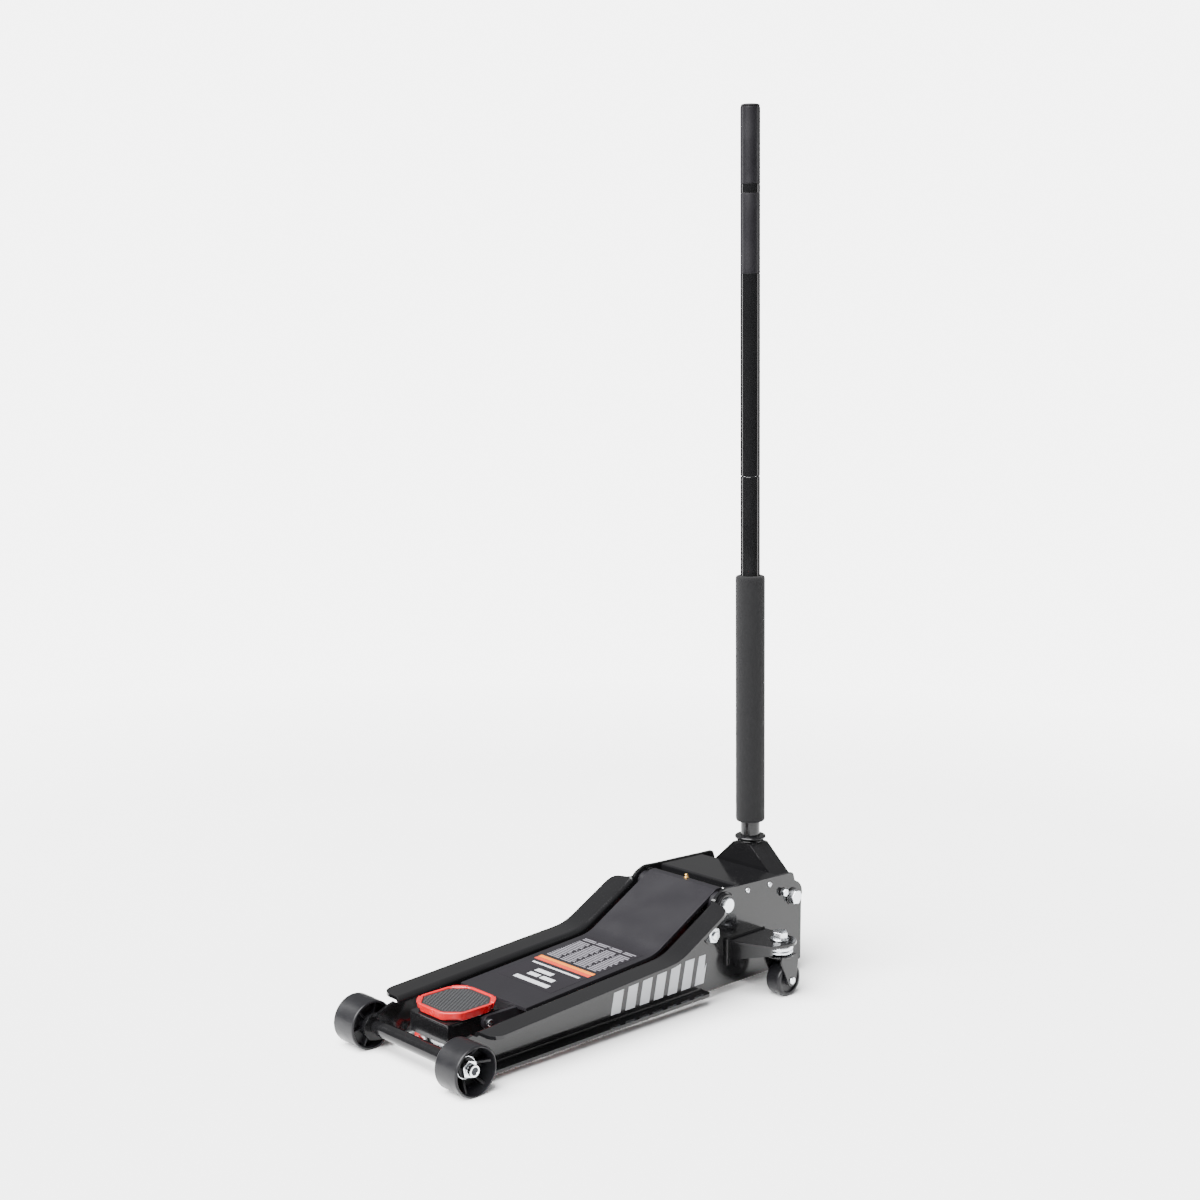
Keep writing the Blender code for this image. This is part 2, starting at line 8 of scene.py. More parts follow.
import logging
import math
from dataclasses import dataclass
from enum import Enum
from typing import Iterable, Sequence

import bmesh
import bpy
from mathutils import Matrix, Vector


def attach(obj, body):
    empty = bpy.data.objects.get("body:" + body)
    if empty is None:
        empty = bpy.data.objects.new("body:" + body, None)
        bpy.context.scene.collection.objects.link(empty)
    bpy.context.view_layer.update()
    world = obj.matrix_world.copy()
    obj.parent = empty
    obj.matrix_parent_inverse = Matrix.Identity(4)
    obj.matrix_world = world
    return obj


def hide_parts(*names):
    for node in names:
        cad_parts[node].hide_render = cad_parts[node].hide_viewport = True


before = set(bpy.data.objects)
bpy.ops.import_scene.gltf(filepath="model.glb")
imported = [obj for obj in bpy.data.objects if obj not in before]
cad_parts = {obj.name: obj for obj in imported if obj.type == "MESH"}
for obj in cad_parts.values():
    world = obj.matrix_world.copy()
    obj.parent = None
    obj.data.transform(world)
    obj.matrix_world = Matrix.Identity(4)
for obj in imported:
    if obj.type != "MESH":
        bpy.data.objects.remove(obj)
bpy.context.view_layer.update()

LOG = logging.getLogger("floor_jack")
Point = Sequence[float]
MM = 0.001
# the CAD's frame has its origin this far behind the front axle
CENTRE_Y = 364.1484
# the working frame is turned by this much about the front axle, its rear end up
PITCH = math.radians(1.1635)
AXLE_Z = 38.0
ACROSS = (1, 0, 0)
REARWARD = (0, 1, 0)
UPWARD = (0, 0, 1)
# pivots that neighbouring parts share, as (y, z)
ARM_PIVOT = (570.0, 146.0)
SADDLE_PIN = (99.0, 59.5)
LINK_PIN = (67.0, 16.0)
LINK_ANCHOR = (538.0, 102.5)
SOCKET_PIVOT = (742.0, 123.0)
# half the width over the two side plates
PLATE_OUT = 95.6


class Side(Enum):
    """The two sides of the jack, with the sign of X."""

    LEFT = -1
    RIGHT = 1

    @property
    def word(self) -> str:
        """Return the side's name as it ends a node's name."""
        return self.name.lower()


class Along(Enum):
    """An axis with the two directions that an outline is drawn in."""

    X = ((0, 1, 0), (0, 0, 1), (1, 0, 0))
    Y = ((1, 0, 0), (0, 0, 1), (0, 1, 0))
    Z = ((1, 0, 0), (0, 1, 0), (0, 0, 1))


# --------------------------------------------------------------------------
# Colour and node helpers


def linear(hex_colour: str) -> tuple[float, float, float, float]:
    """Turn an sRGB hex colour into linear RGBA.

    Args:
        hex_colour: six hex digits after a hash.

    Returns:
        Linear red, green, blue and full alpha.
    """
    digits = hex_colour.lstrip("#")
    parts = [int(digits[i:i + 2], 16) / 255.0 for i in (0, 2, 4)]
    red, green, blue = [p / 12.92 if p <= 0.04045 else ((p + 0.055) / 1.055) ** 2.4 for p in parts]
    return (red, green, blue, 1.0)


def add_node(tree: bpy.types.NodeTree, kind: str, settings: dict | None = None,
             links: dict | None = None) -> bpy.types.Node:
    """Add one shader node with its settings and incoming links.

    Args:
        tree: the node tree to add to.
        kind: the node's type name.
        settings: attribute names, or input names or numbers, to values.
        links: input names or numbers to output sockets.

    Returns:
        The new node.
    """
    node = tree.nodes.new(kind)
    for key, value in (settings or {}).items():
        if isinstance(key, str) and hasattr(node, key):
            setattr(node, key, value)
        else:
            node.inputs[key].default_value = value
    for key, socket in (links or {}).items():
        tree.links.new(socket, node.inputs[key])
    return node


# --------------------------------------------------------------------------
# Finishes


@dataclass(frozen=True)
class Finish:
    """A real finish: its colour, gloss and the surface grain that shows.

    grain_mm is the size of one bump of the surface and grain_depth_mm its
    height; mottle is how far the colour drifts, and patch_mm how wide a drift is.
    """

    name: str
    colour: str
    slot: str
    roughness: float = 0.4
    metallic: float = 0.0
    coat: float = 0.0
    coat_roughness: float = 0.05
    ior: float = 1.5
    grain_mm: float = 2.0
    grain_depth_mm: float = 0.02
    mottle: float = 0.08
    patch_mm: float = 40.0
    rough_drift: float = 0.06
    sheen: float = 0.0
    specular: float = 0.5
    cells: bool = False

    def material(self) -> bpy.types.Material:
        """Build the finish's material once.

        Returns:
            The material, made on the first call and reused afterwards.
        """
        found = bpy.data.materials.get(self.name)
        if found is not None:
            return found
        mat = bpy.data.materials.new(self.name)
        mat.use_nodes = True
        tree = mat.node_tree
        shader = tree.nodes["Principled BSDF"]
        place = add_node(tree, "ShaderNodeTexCoord")
        spot = place.outputs["Object"]
        # broad, faint drift of tone and gloss, as paint or plating lies on a large face
        patch = add_node(tree, "ShaderNodeTexNoise", {"Scale": 1.0 / (self.patch_mm * MM), "Detail": 3.0},
                         {"Vector": spot})
        base = linear(self.colour)
        dark = tuple(c * (1.0 - self.mottle) for c in base[:3]) + (1.0,)
        light = tuple(min(1.0, c * (1.0 + self.mottle)) for c in base[:3]) + (1.0,)
        tone = add_node(tree, "ShaderNodeMix", {"data_type": "RGBA"})
        tree.links.new(patch.outputs["Fac"], tone.inputs[0])
        tone.inputs[6].default_value = dark
        tone.inputs[7].default_value = light
        tree.links.new(tone.outputs[2], shader.inputs["Base Color"])
        gloss = add_node(tree, "ShaderNodeMapRange",
                         {1: 0.3, 2: 0.7, 3: max(0.02, self.roughness - self.rough_drift),
                          4: self.roughness + self.rough_drift}, {0: patch.outputs["Fac"]})
        tree.links.new(gloss.outputs[0], shader.inputs["Roughness"])
        kind = "ShaderNodeTexVoronoi" if self.cells else "ShaderNodeTexNoise"
        grain = add_node(tree, kind, {"Scale": 1.0 / (self.grain_mm * MM)}, {"Vector": spot})
        height = grain.outputs["Distance"] if self.cells else grain.outputs["Fac"]
        bump = add_node(tree, "ShaderNodeBump",
                        {"Strength": 1.0, "Distance": self.grain_depth_mm * MM}, {"Height": height})
        tree.links.new(bump.outputs[0], shader.inputs["Normal"])
        shader.inputs["Metallic"].default_value = self.metallic
        if not self.metallic:
            shader.inputs["IOR"].default_value = self.ior
        shader.inputs["Coat Weight"].default_value = self.coat
        shader.inputs["Coat Roughness"].default_value = self.coat_roughness
        shader.inputs["Sheen Weight"].default_value = self.sheen
        shader.inputs["Specular IOR Level"].default_value = self.specular
        mat.diffuse_color = base
        return mat


# Stoved enamel over pressed steel: deep, wet-looking, with a faint orange peel.
GLOSS_BLACK = Finish("stoved_gloss_black_enamel", "#0e0e0f", "gloss_enamel", 0.15, coat=0.12, specular=0.24,
                     coat_roughness=0.05, grain_mm=2.6, grain_depth_mm=0.012)
# Epoxy powder coat: finer and drier than the enamel, with an even grain.
SATIN_BLACK = Finish("satin_black_powder_coat", "#161518", "satin_powder_coat", 0.4, specular=0.25,
                     grain_mm=0.9, grain_depth_mm=0.03, mottle=0.1, patch_mm=60.0)
# Sprayed enamel on the saddle and the links: clean, deep red.
GLOSS_RED = Finish("sprayed_red_enamel", "#aa0811", "red_enamel", 0.3, coat=0.45, coat_roughness=0.1,
                   grain_mm=2.2, grain_depth_mm=0.015, mottle=0.05)
# Bright zinc plate: silvery and slightly cloudy, softer than chrome.
ZINC = Finish("bright_zinc_plate", "#d3d6da", "zinc_plate", 0.26, metallic=1.0, grain_mm=0.8,
              grain_depth_mm=0.008, mottle=0.06, patch_mm=9.0, rough_drift=0.08)
# Ground hard chrome on the rams, the front axle and its nuts: a mirror with hair-fine grinding.
CHROME = Finish("ground_hard_chrome", "#dfe1e4", "hard_chrome", 0.08, metallic=1.0, grain_mm=0.5,
                grain_depth_mm=0.002, mottle=0.02, rough_drift=0.03)
# Sand-cast iron under thick black paint: pebbly and uneven.
CASTING = Finish("painted_sand_cast_iron", "#161617", "cast_iron_paint", 0.5, specular=0.35, grain_mm=1.6,
                 grain_depth_mm=0.16, mottle=0.14, patch_mm=15.0)
# Wheels cast and dipped in satin black: fine mould grain.
WHEEL_BLACK = Finish("satin_black_cast_wheel", "#121214", "wheel_nylon", 0.34, specular=0.22, grain_mm=1.1,
                     grain_depth_mm=0.05, mottle=0.1, patch_mm=20.0)
# Vulcanised rubber: matt with a bloom.
RUBBER = Finish("moulded_black_rubber", "#0a0a0b", "black_rubber", 0.75, grain_mm=0.7,
                grain_depth_mm=0.04, mottle=0.12, patch_mm=12.0, sheen=0.04, specular=0.3)
# The same rubber painted lighter grey on the studs: a painted highlight for their lit tops.
STUD_HIGHLIGHT_RUBBER = Finish("rubber_painted_stud_highlight", "#232325", "black_rubber", 0.66, grain_mm=0.7,
                     grain_depth_mm=0.04, mottle=0.14, patch_mm=12.0, specular=0.3)
# Closed-cell foam: open-looking skin of cells about a millimetre wide, drawn 1.6 mm so it shows.
FOAM = Finish("closed_cell_foam", "#121213", "foam_grip", 0.88, grain_mm=1.6, grain_depth_mm=0.3,
              mottle=0.16, patch_mm=10.0, sheen=0.06, specular=0.15, cells=True)
# Turned brass of the grease nipple.
BRASS = Finish("turned_brass", "#d7b06a", "brass", 0.25, metallic=1.0, grain_mm=0.6,
               grain_depth_mm=0.006, mottle=0.05, patch_mm=5.0)
# Printed vinyl of the plain panels and bands.
VINYL_WHITE = Finish("white_vinyl_film", "#a6a8ac", "gloss_enamel", 0.38, grain_mm=1.4,
                     grain_depth_mm=0.006, mottle=0.02)
VINYL_DARK = Finish("charcoal_vinyl_film", "#141216", "gloss_enamel", 0.4, specular=0.35, grain_mm=1.4,
                    grain_depth_mm=0.006, mottle=0.03)
VINYL_AMBER = Finish("amber_vinyl_film", "#b8661c", "gloss_enamel", 0.38, grain_mm=1.4,
                     grain_depth_mm=0.006, mottle=0.02)
VINYL_CORAL = Finish("coral_vinyl_film", "#a83422", "gloss_enamel", 0.38, grain_mm=1.4,
                     grain_depth_mm=0.006, mottle=0.02)
VINYL_GREY = Finish("grey_vinyl_film", "#6a686e", "gloss_enamel", 0.4, grain_mm=1.4,
                    grain_depth_mm=0.006, mottle=0.02)
# Near-black metal, far darker than bare steel, in the ends of the front axle: it paints in the dark centre
# seen there.
AXLE_END_PAINTED_DARK = Finish("axle_end_painted_dark", "#303134", "zinc_plate", 0.5, metallic=1.0, grain_mm=0.6,
                    grain_depth_mm=0.01)
# Poured concrete painted white for the studio floor.
STUDIO = Finish("white_studio_floor", "#f4f4f4", "gloss_enamel", 0.85, grain_mm=3.0,
                grain_depth_mm=0.01, mottle=0.005, patch_mm=400.0)


# --------------------------------------------------------------------------
# Shaping helpers


def fresh() -> bmesh.types.BMesh:
    """Return an empty bmesh."""
    return bmesh.new()


def slab(outline: Iterable[Point], along: Along, low: float, high: float, edge: float = 0.0,
         steps: int = 2) -> bmesh.types.BMesh:
    """Extrude an outline into a plate and round its edges.

    Args:
        outline: corners in the two directions that `along` gives.
        along: the axis of extrusion.
        low: where the plate begins on the axis.
        high: where it ends.
        edge: radius of the rounded edges, or 0 for none.
        steps: segments of each rounded edge.

    Returns:
        A closed bmesh in working millimetres.
    """
    first, second, third = (Vector(v) for v in along.value)
    bm = fresh()
    face = bm.faces.new([bm.verts.new(first * p[0] + second * p[1] + third * low) for p in outline])
    made = bmesh.ops.extrude_face_region(bm, geom=[face])["geom"]
    moved = [v for v in made if isinstance(v, bmesh.types.BMVert)]
    bmesh.ops.translate(bm, verts=moved, vec=third * (high - low))
    bmesh.ops.recalc_face_normals(bm, faces=bm.faces)
    return soften(bm, edge, steps) if edge else bm


def soften(bm: bmesh.types.BMesh, width: float, steps: int = 2, above: float = 35.0) -> bmesh.types.BMesh:
    """Bevel every edge that is sharper than an angle.

    Args:
        bm: the bmesh to change.
        width: the bevel's width in millimetres.
        steps: its segments.
        above: the angle in degrees from which an edge counts as sharp.

    Returns:
        The same bmesh.
    """
    sharp = [e for e in bm.edges if e.is_manifold and e.calc_face_angle(0.0) > math.radians(above)]
    bevel(bm, sharp, width, steps)
    return bm


def bevel(bm: bmesh.types.BMesh, edges: Sequence[bmesh.types.BMEdge], width: float, steps: int = 2) -> None:
    """Round the given edges of a bmesh."""
    bmesh.ops.bevel(bm, geom=edges, offset=width, offset_type="OFFSET", segments=steps, profile=0.5,
                    affect="EDGES", clamp_overlap=True, material=-1)


def stand(bm: bmesh.types.BMesh, base: Point, axis: Point) -> None:
    """Move a shape that is drawn up Z from the origin to a base and an axis of its own."""
    turn = Vector(UPWARD).rotation_difference(Vector(axis).normalized()).to_matrix().to_4x4()
    bmesh.ops.transform(bm, verts=bm.verts, matrix=Matrix.Translation(Vector(base)) @ turn)


def lathe(profile: Sequence[Point], base: Point, axis: Point, segments: int = 64) -> bmesh.types.BMesh:
    """Spin a profile of (radius, distance) pairs about an axis.

    Args:
        profile: pairs from one end of the turned shape to the other; a profile
            that doesn't begin on the axis is closed into a ring.
        base: where distance 0 lies.
        axis: direction of growing distance.
        segments: faces round the axis.

    Returns:
        A closed bmesh in working millimetres.
    """
    bm = fresh()
    verts = [bm.verts.new((r, 0.0, t)) for r, t in profile]
    edges = [bm.edges.new(pair) for pair in zip(verts, verts[1:])]
    if profile[0][0] > 1e-6:
        edges.append(bm.edges.new((verts[-1], verts[0])))
    bmesh.ops.spin(bm, geom=verts + edges, cent=(0, 0, 0), axis=(0, 0, 1), angle=2.0 * math.pi,
                   steps=segments, use_merge=True, use_duplicate=False)
    bmesh.ops.remove_doubles(bm, verts=bm.verts, dist=1e-4)
    bmesh.ops.recalc_face_normals(bm, faces=bm.faces)
    stand(bm, base, axis)
    return bm


def bar(radius: float, length: float, chamfer: float, bore: float = 0.0) -> list[tuple[float, float]]:
    """Return the lathe profile of a plain bar or tube with chamfered ends."""
    return [(bore, 0), (radius - chamfer, 0), (radius, chamfer), (radius, length - chamfer),
            (radius - chamfer, length), (bore, length)]


def arc(centre: Point, radius: float, start: float, end: float, steps: int = 8) -> list[tuple[float, float]]:
    """Return points on an arc, angles in degrees."""
    out = []
    for i in range(steps + 1):
        angle = math.radians(start + (end - start) * i / steps)
        out.append((centre[0] + radius * math.cos(angle), centre[1] + radius * math.sin(angle)))
    return out


def rounded(points: Sequence[Point], radii: Sequence[float], steps: int = 5,
            closed: bool = True) -> list[tuple[float, float]]:
    """Round the corners of an outline.

    Args:
        points: the corners.
        radii: one radius for each corner; 0 keeps it sharp.
        steps: segments of each rounded corner.
        closed: whether the last corner joins the first.

    Returns:
        The points of the rounded outline.
    """
    out: list[tuple[float, float]] = []
    count = len(points)
    for i, (corner, radius) in enumerate(zip(points, radii)):
        here = Vector(corner)
        if radius <= 0 or (not closed and i in (0, count - 1)):
            out.append((here.x, here.y))
            continue
        back = (Vector(points[i - 1]) - here)
        ahead = (Vector(points[(i + 1) % count]) - here)
        half = back.angle(ahead) / 2.0
        reach = min(radius / math.tan(half), back.length * 0.49, ahead.length * 0.49)
        start = here + back.normalized() * reach
        end = here + ahead.normalized() * reach
        for k in range(steps + 1):
            t = k / steps
            spot = start * (1 - t) ** 2 + here * 2 * t * (1 - t) + end * t ** 2
            out.append((spot.x, spot.y))
    return out


def hexagon(centre: Point, across: float, turn: float = 0.0) -> list[tuple[float, float]]:
    """Return the corners of a hexagon of a width across its flats."""
    return arc(centre, across / math.sqrt(3.0), turn, turn + 300.0, 5)


def merge(parts: Iterable[bmesh.types.BMesh]) -> bmesh.types.BMesh:
    """Put several bmeshes into one and free them.

    Args:
        parts: the bmeshes to gather.

    Returns:
        One bmesh that holds them all.
    """
    whole = fresh()
    for part in parts:
        scratch = bpy.data.meshes.new("scratch")
        part.to_mesh(scratch)
        part.free()
        whole.from_mesh(scratch)
        bpy.data.meshes.remove(scratch)
    return whole


def flip(bm: bmesh.types.BMesh) -> bmesh.types.BMesh:
    """Mirror a bmesh to the other side of the jack, faces outwards."""
    bmesh.ops.scale(bm, verts=bm.verts, vec=(-1, 1, 1))
    bmesh.ops.reverse_faces(bm, faces=bm.faces)
    return bm


def weld_bead(path: Sequence[Point], radius: float = 1.6) -> bmesh.types.BMesh:
    """Lay a weld bead: a low rope of overlapping ripples along a path.

    Args:
        path: points of the seam.
        radius: the bead's radius.

    Returns:
        A bmesh of the bead's ripples.
    """
    ripples = []
    for start, end in zip(path, path[1:]):
        a, b = Vector(start), Vector(end)
        count = max(2, int((b - a).length / (radius * 0.9)))
        for i in range(count):
            bm = fresh()
            bmesh.ops.create_icosphere(bm, subdivisions=1, radius=radius)
            bmesh.ops.translate(bm, verts=bm.verts, vec=a.lerp(b, (i + 0.5) / count))
            ripples.append(bm)
    return merge(ripples)


def to_frame() -> Matrix:
    """Return the matrix from working millimetres to the CAD's frame in metres."""
    tilt = (Matrix.Translation((0.0, 0.0, AXLE_Z)) @ Matrix.Rotation(PITCH, 4, "X")
            @ Matrix.Translation((0.0, 0.0, -AXLE_Z)))
    return Matrix.Scale(MM, 4) @ Matrix.Translation((0.0, -CENTRE_Y, 0.0)) @ tilt


def publish(name: str, bm: bmesh.types.BMesh, finish: Finish, body: str, stands_for: Sequence[str] = (),
            smooth: float = 38.0, weighted: bool = True) -> bpy.types.Object:
    """Turn a finished bmesh into a piece of the jack.

    Args:
        name: the piece's name.
        bm: its shape in working millimetres, which is freed.
        finish: what it is made of.
        body: the CAD body it moves with.
        stands_for: CAD nodes it replaces.
        smooth: edges flatter than this angle in degrees are shaded smooth.
        weighted: whether broad faces keep flat shading next to rounded edges.

    Returns:
        The new object.
    """
    bmesh.ops.transform(bm, verts=bm.verts, matrix=to_frame())
    mesh = bpy.data.meshes.new(name)
    bm.to_mesh(mesh)
    bm.free()
    mesh.materials.append(finish.material())
    mesh.shade_smooth()
    mesh.set_sharp_from_angle(angle=math.radians(smooth))
    obj = bpy.data.objects.new(name, mesh)
    bpy.context.scene.collection.objects.link(obj)
    if weighted:
        mod = obj.modifiers.new("face_weight", "WEIGHTED_NORMAL")
        mod.keep_sharp = True
        mod.weight = 60
    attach(obj, body)
    if stands_for:
        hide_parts(*stands_for)
    LOG.info("%s: %d faces in %s", name, len(mesh.polygons), finish.name)
    return obj


def in_plane(side: Side, bm: bmesh.types.BMesh) -> bmesh.types.BMesh:
    """Return the bmesh as it is for the right side and mirrored for the left."""
    return bm if side is Side.RIGHT else flip(bm)


def publish_side(side: Side, name: str, bm: bmesh.types.BMesh, finish: Finish, body: str = "chassis",
                 node: str = "", smooth: float = 38.0, weighted: bool = True) -> bpy.types.Object:
    """Turn a bmesh drawn on the right into a piece of one side.

    Args:
        side: the side it is for; the left one is mirrored.
        name: the piece's name without the side.
        bm: its shape in working millimetres, which is freed.
        finish: what it is made of.
        body: the CAD body it moves with.
        node: the CAD node it replaces, without the side, or nothing.
        smooth: edges flatter than this angle in degrees are shaded smooth.
        weighted: whether broad faces keep flat shading next to rounded edges.

    Returns:
        The new object.
    """
    nodes = (f"{node}_{side.word}",) if node else ()
    return publish(f"{name}_{side.word}", in_plane(side, bm), finish, body, nodes, smooth, weighted)


@dataclass
class HexBolt:
    """A hex bolt or nut seen from its head, with an optional washer."""

    across: float = 24.0
    head: float = 10.0
    washer: float = 0.0
    washer_thick: float = 2.2
    turn: float = 8.0

    def shape(self, base: Point, axis: Point = ACROSS) -> bmesh.types.BMesh:
        """Build the head over its washer.

        Args:
            base: centre of the seat.
            axis: the way the head points.

        Returns:
            The bolt's bmesh.
        """
        seat = self.washer_thick if self.washer else 0.0
        bm = slab(hexagon((0, 0), self.across, self.turn), Along.Z, seat, seat + self.head)
        top = [e for e in bm.edges if all(v.co.z > seat + self.head - 0.01 for v in e.verts)]
        bevel(bm, top, min(1.4, self.head * 0.16))
        upright = [e for e in bm.edges if abs(e.verts[0].co.z - e.verts[1].co.z) > self.head * 0.5]
        bevel(bm, upright, 0.5)
        parts = [bm]
        if self.washer:
            r, t = self.washer, self.washer_thick
            parts.append(lathe([(0, 0.05), (r - 0.4, 0.05), (r, 0.4), (r, t - 0.4), (r - 0.4, t), (0, t)],
                               (0, 0, 0), UPWARD, 48))
        whole = merge(parts)
        stand(whole, base, axis)
        return whole


# --------------------------------------------------------------------------
# Chassis


@dataclass
class SidePlate:
    """A pressed side plate: upright web, flanges turned out at its top and its foot."""

    side: Side
    web: float = 90.0
    thick: float = 5.6
    bend: float = 9.0
    foot_z: float = 8.5
    rear_z: float = 6.5
    rear_y: float = 766.0
    axle: tuple[float, float] = (0.0, AXLE_Z)
    nose_r: float = 21.0
    band_count: int = 7
    band_start: float = 312.0
    band_pitch: float = 31.5
    profile: tuple[tuple[float, float], ...] = (
        (-30, 66.0), (45, 71.8), (360, 89.5), (400, 91.4), (420, 93.6), (437, 99.0), (470, 116.5),
        (518, 142.0), (541, 155.0), (561, 167.5), (571, 172.0), (603, 169.8), (735, 164.8), (800, 162.4))
    reach: tuple[tuple[float, float], ...] = (
        (44, 117.0), (46, 123.5), (49, 128.4), (53, 132.0), (58, 134.6), (64, 135.6), (522, 135.6),
        (528, 134.6), (533, 132.2), (537, 128.0), (539.5, 122.0), (541, 112.0), (542.5, 99.0), (544, 90.0))
    foot: tuple[tuple[float, float], ...] = ((46, 112.0), (52, 118.0), (512, 118.0), (518, 113.0))

    def read(self, table: Sequence[Point], y: float) -> float:
        """Read a table of (y, value) pairs by straight lines between them."""
        for (ya, va), (yb, vb) in zip(table, table[1:]):
            if y <= yb:
                return va + (vb - va) * max(0.0, y - ya) / (yb - ya)
        return table[-1][1]

    def top(self, y: float) -> float:
        """Return the height of the top edge at y, with its bends rounded."""
        window, half = 8.0, 5
        if y < 75.0 or y > 600.0:
            return self.read(self.profile, y)
        spots = [y + window * k / half for k in range(-half, half + 1)]
        return sum(self.read(self.profile, spot) for spot in spots) / len(spots)

    def foot_reach(self, y: float) -> float:
        """Return the outer edge of the foot flange at y."""
        return self.read(self.foot, y)

    def rim(self) -> list[tuple[float, float]]:
        """Return the web's outline, nose first and then rearwards along the foot."""
        outline = arc(self.axle, self.nose_r, 235, 262, 4) + [(12, 15.0), (30, 10.0)]
        ys = [46, 48, 50, 52] + list(range(70, 500, 25)) + [512, 515, 518]
        outline += [(y, self.foot_z + min(self.bend, self.foot_reach(y) - self.web)) for y in ys]
        outline += [(522, 10.5), (530, self.rear_z)] + [(y, self.rear_z) for y in (600, 680)]
        heel = [(757, self.rear_z), (self.rear_y, self.rear_z), (self.rear_y, 18)]
        outline += rounded(heel, (0, 9, 0), 5, False)
        outline += [(self.rear_y, 60), (self.rear_y, 120)]
        outline += arc((744, 125), 24.0, -4, 70, 9)
        outline += rounded([(748.5, 150), (745.5, 158.5), (743, 164.5), (735, 164.8)], (0, 4, 5, 0), 4, False)
        outline += [(y, self.top(y)) for y in (700, 660, 603, 590, 582, 577, 572, 567, 562, 557, 552, 548)]
        ys = [544, 542.5, 541, 539.5, 537, 533, 528] + list(range(522, 380, -6)) + list(range(378, 66, -24))
        ys += [64, 58, 53, 49, 46, 44]
        outline += [(y, self.top(y) - min(self.bend, self.read(self.reach, y) - self.web)) for y in ys]
        outline += [(36, 67.5), (24, 64.5)] + arc(self.axle, self.nose_r, 68, 225, 18)
        return outline

    def grow(self, bm: bmesh.types.BMesh, low: float, high: float, foot: bool) -> None:
        """Turn a flange out of the web's top or foot edge.

        Args:
            bm: the sheet so far.
            low: the edge's first y.
            high: its last y.
            foot: True for the foot, False for the top.
        """
        def on_edge(v: bmesh.types.BMVert) -> bool:
            """Say whether a vertex lies on the edge that the flange grows from."""
            y, z = v.co.y, v.co.z
            reach = self.foot_reach(y) if foot else self.read(self.reach, y)
            bend = min(self.bend, max(0.0, reach - self.web))
            goal = self.foot_z + bend if foot else self.top(y) - bend
            return low - 0.01 <= y <= high + 0.01 and abs(z - goal) < 0.02

        longest = 40.0
        turns = 6
        edges = [e for e in bm.edges if all(on_edge(v) for v in e.verts)
                 and abs(e.verts[0].co.y - e.verts[1].co.y) < longest]
        # the bend takes six steps, and two more run out to the flange's edge
        for step in range(1, turns + 3):
            made = bmesh.ops.extrude_edge_only(bm, edges=edges)["geom"]
            edges = [g for g in made if isinstance(g, bmesh.types.BMEdge)
                     and abs(g.verts[0].co.y - g.verts[1].co.y) > 1e-6]
            for v in {v for e in edges for v in e.verts}:
                y = v.co.y
                reach = self.foot_reach(y) if foot else self.read(self.reach, y)
                bend = min(self.bend, max(0.0, reach - self.web))
                turn = math.radians(min(step, turns) * 90.0 / turns)
                x = self.web + bend * (1.0 - math.cos(turn))
                drop = bend * (1.0 - math.sin(turn))
                if step == turns + 1:
                    x = (self.web + bend + reach) / 2.0
                if step == turns + 2:
                    x = reach
                z = self.foot_z + drop if foot else self.top(y) - drop
                v.co = (x, y, z)

    def build(self) -> None:
        """Press the plate, lay its welds and put its plain bands on."""
        bm = fresh()
        bm.faces.new([bm.verts.new((self.web, y, z)) for y, z in self.rim()])
        bm.normal_update()
        self.grow(bm, self.reach[0][0], self.reach[-1][0], False)
        self.grow(bm, self.foot[0][0], self.foot[-1][0], True)
        bmesh.ops.remove_doubles(bm, verts=bm.verts, dist=0.01)
        bmesh.ops.dissolve_degenerate(bm, dist=0.01, edges=bm.edges)
        bmesh.ops.recalc_face_normals(bm, faces=bm.faces)
        if sum(f.normal.x * f.calc_area() for f in bm.faces) > 0:
            bmesh.ops.reverse_faces(bm, faces=bm.faces)
        name = "side_plate_" + self.side.word
        bm = in_plane(self.side, bm)
        if self.side is Side.LEFT:
            bmesh.ops.recalc_face_normals(bm, faces=bm.faces)
            if sum(f.normal.x * f.calc_area() for f in bm.faces) < 0:
                bmesh.ops.reverse_faces(bm, faces=bm.faces)
        obj = publish(name + "_pressing", bm, GLOSS_BLACK, "chassis", (name,), 50.0, False)
        wall = obj.modifiers.new("wall", "SOLIDIFY")
        wall.thickness = self.thick * MM
        wall.offset = -1.0
        wall.use_even_offset = True
        edge = obj.modifiers.new("edge", "BEVEL")
        edge.width = 0.9 * MM
        edge.segments = 2
        edge.limit_method = "ANGLE"
        edge.angle_limit = math.radians(50)
        obj.modifiers.new("face_weight", "WEIGHTED_NORMAL").keep_sharp = False
        seam = weld_bead([(97, 548, 156.5), (98.0, 545.2, 155.0), (103, 544.4, 154.6)], 1.5)
        publish_side(self.side, "flange_weld", seam, GLOSS_BLACK)
        self.bands()

    def bands(self) -> None:
        """Put a row of plain slanted bars on the outside of the web."""
        outer = self.web + self.thick
        bars = []
        for i in range(self.band_count):
            y = self.band_start + self.band_pitch * i
            shape = [(y, 24), (y + 21, 24), (y + 31, 71), (y + 10, 71)]
            bars.append(slab(shape, Along.X, outer - 0.1, outer + 0.18))
        publish_side(self.side, "side_bands", merge(bars), VINYL_WHITE, weighted=False)


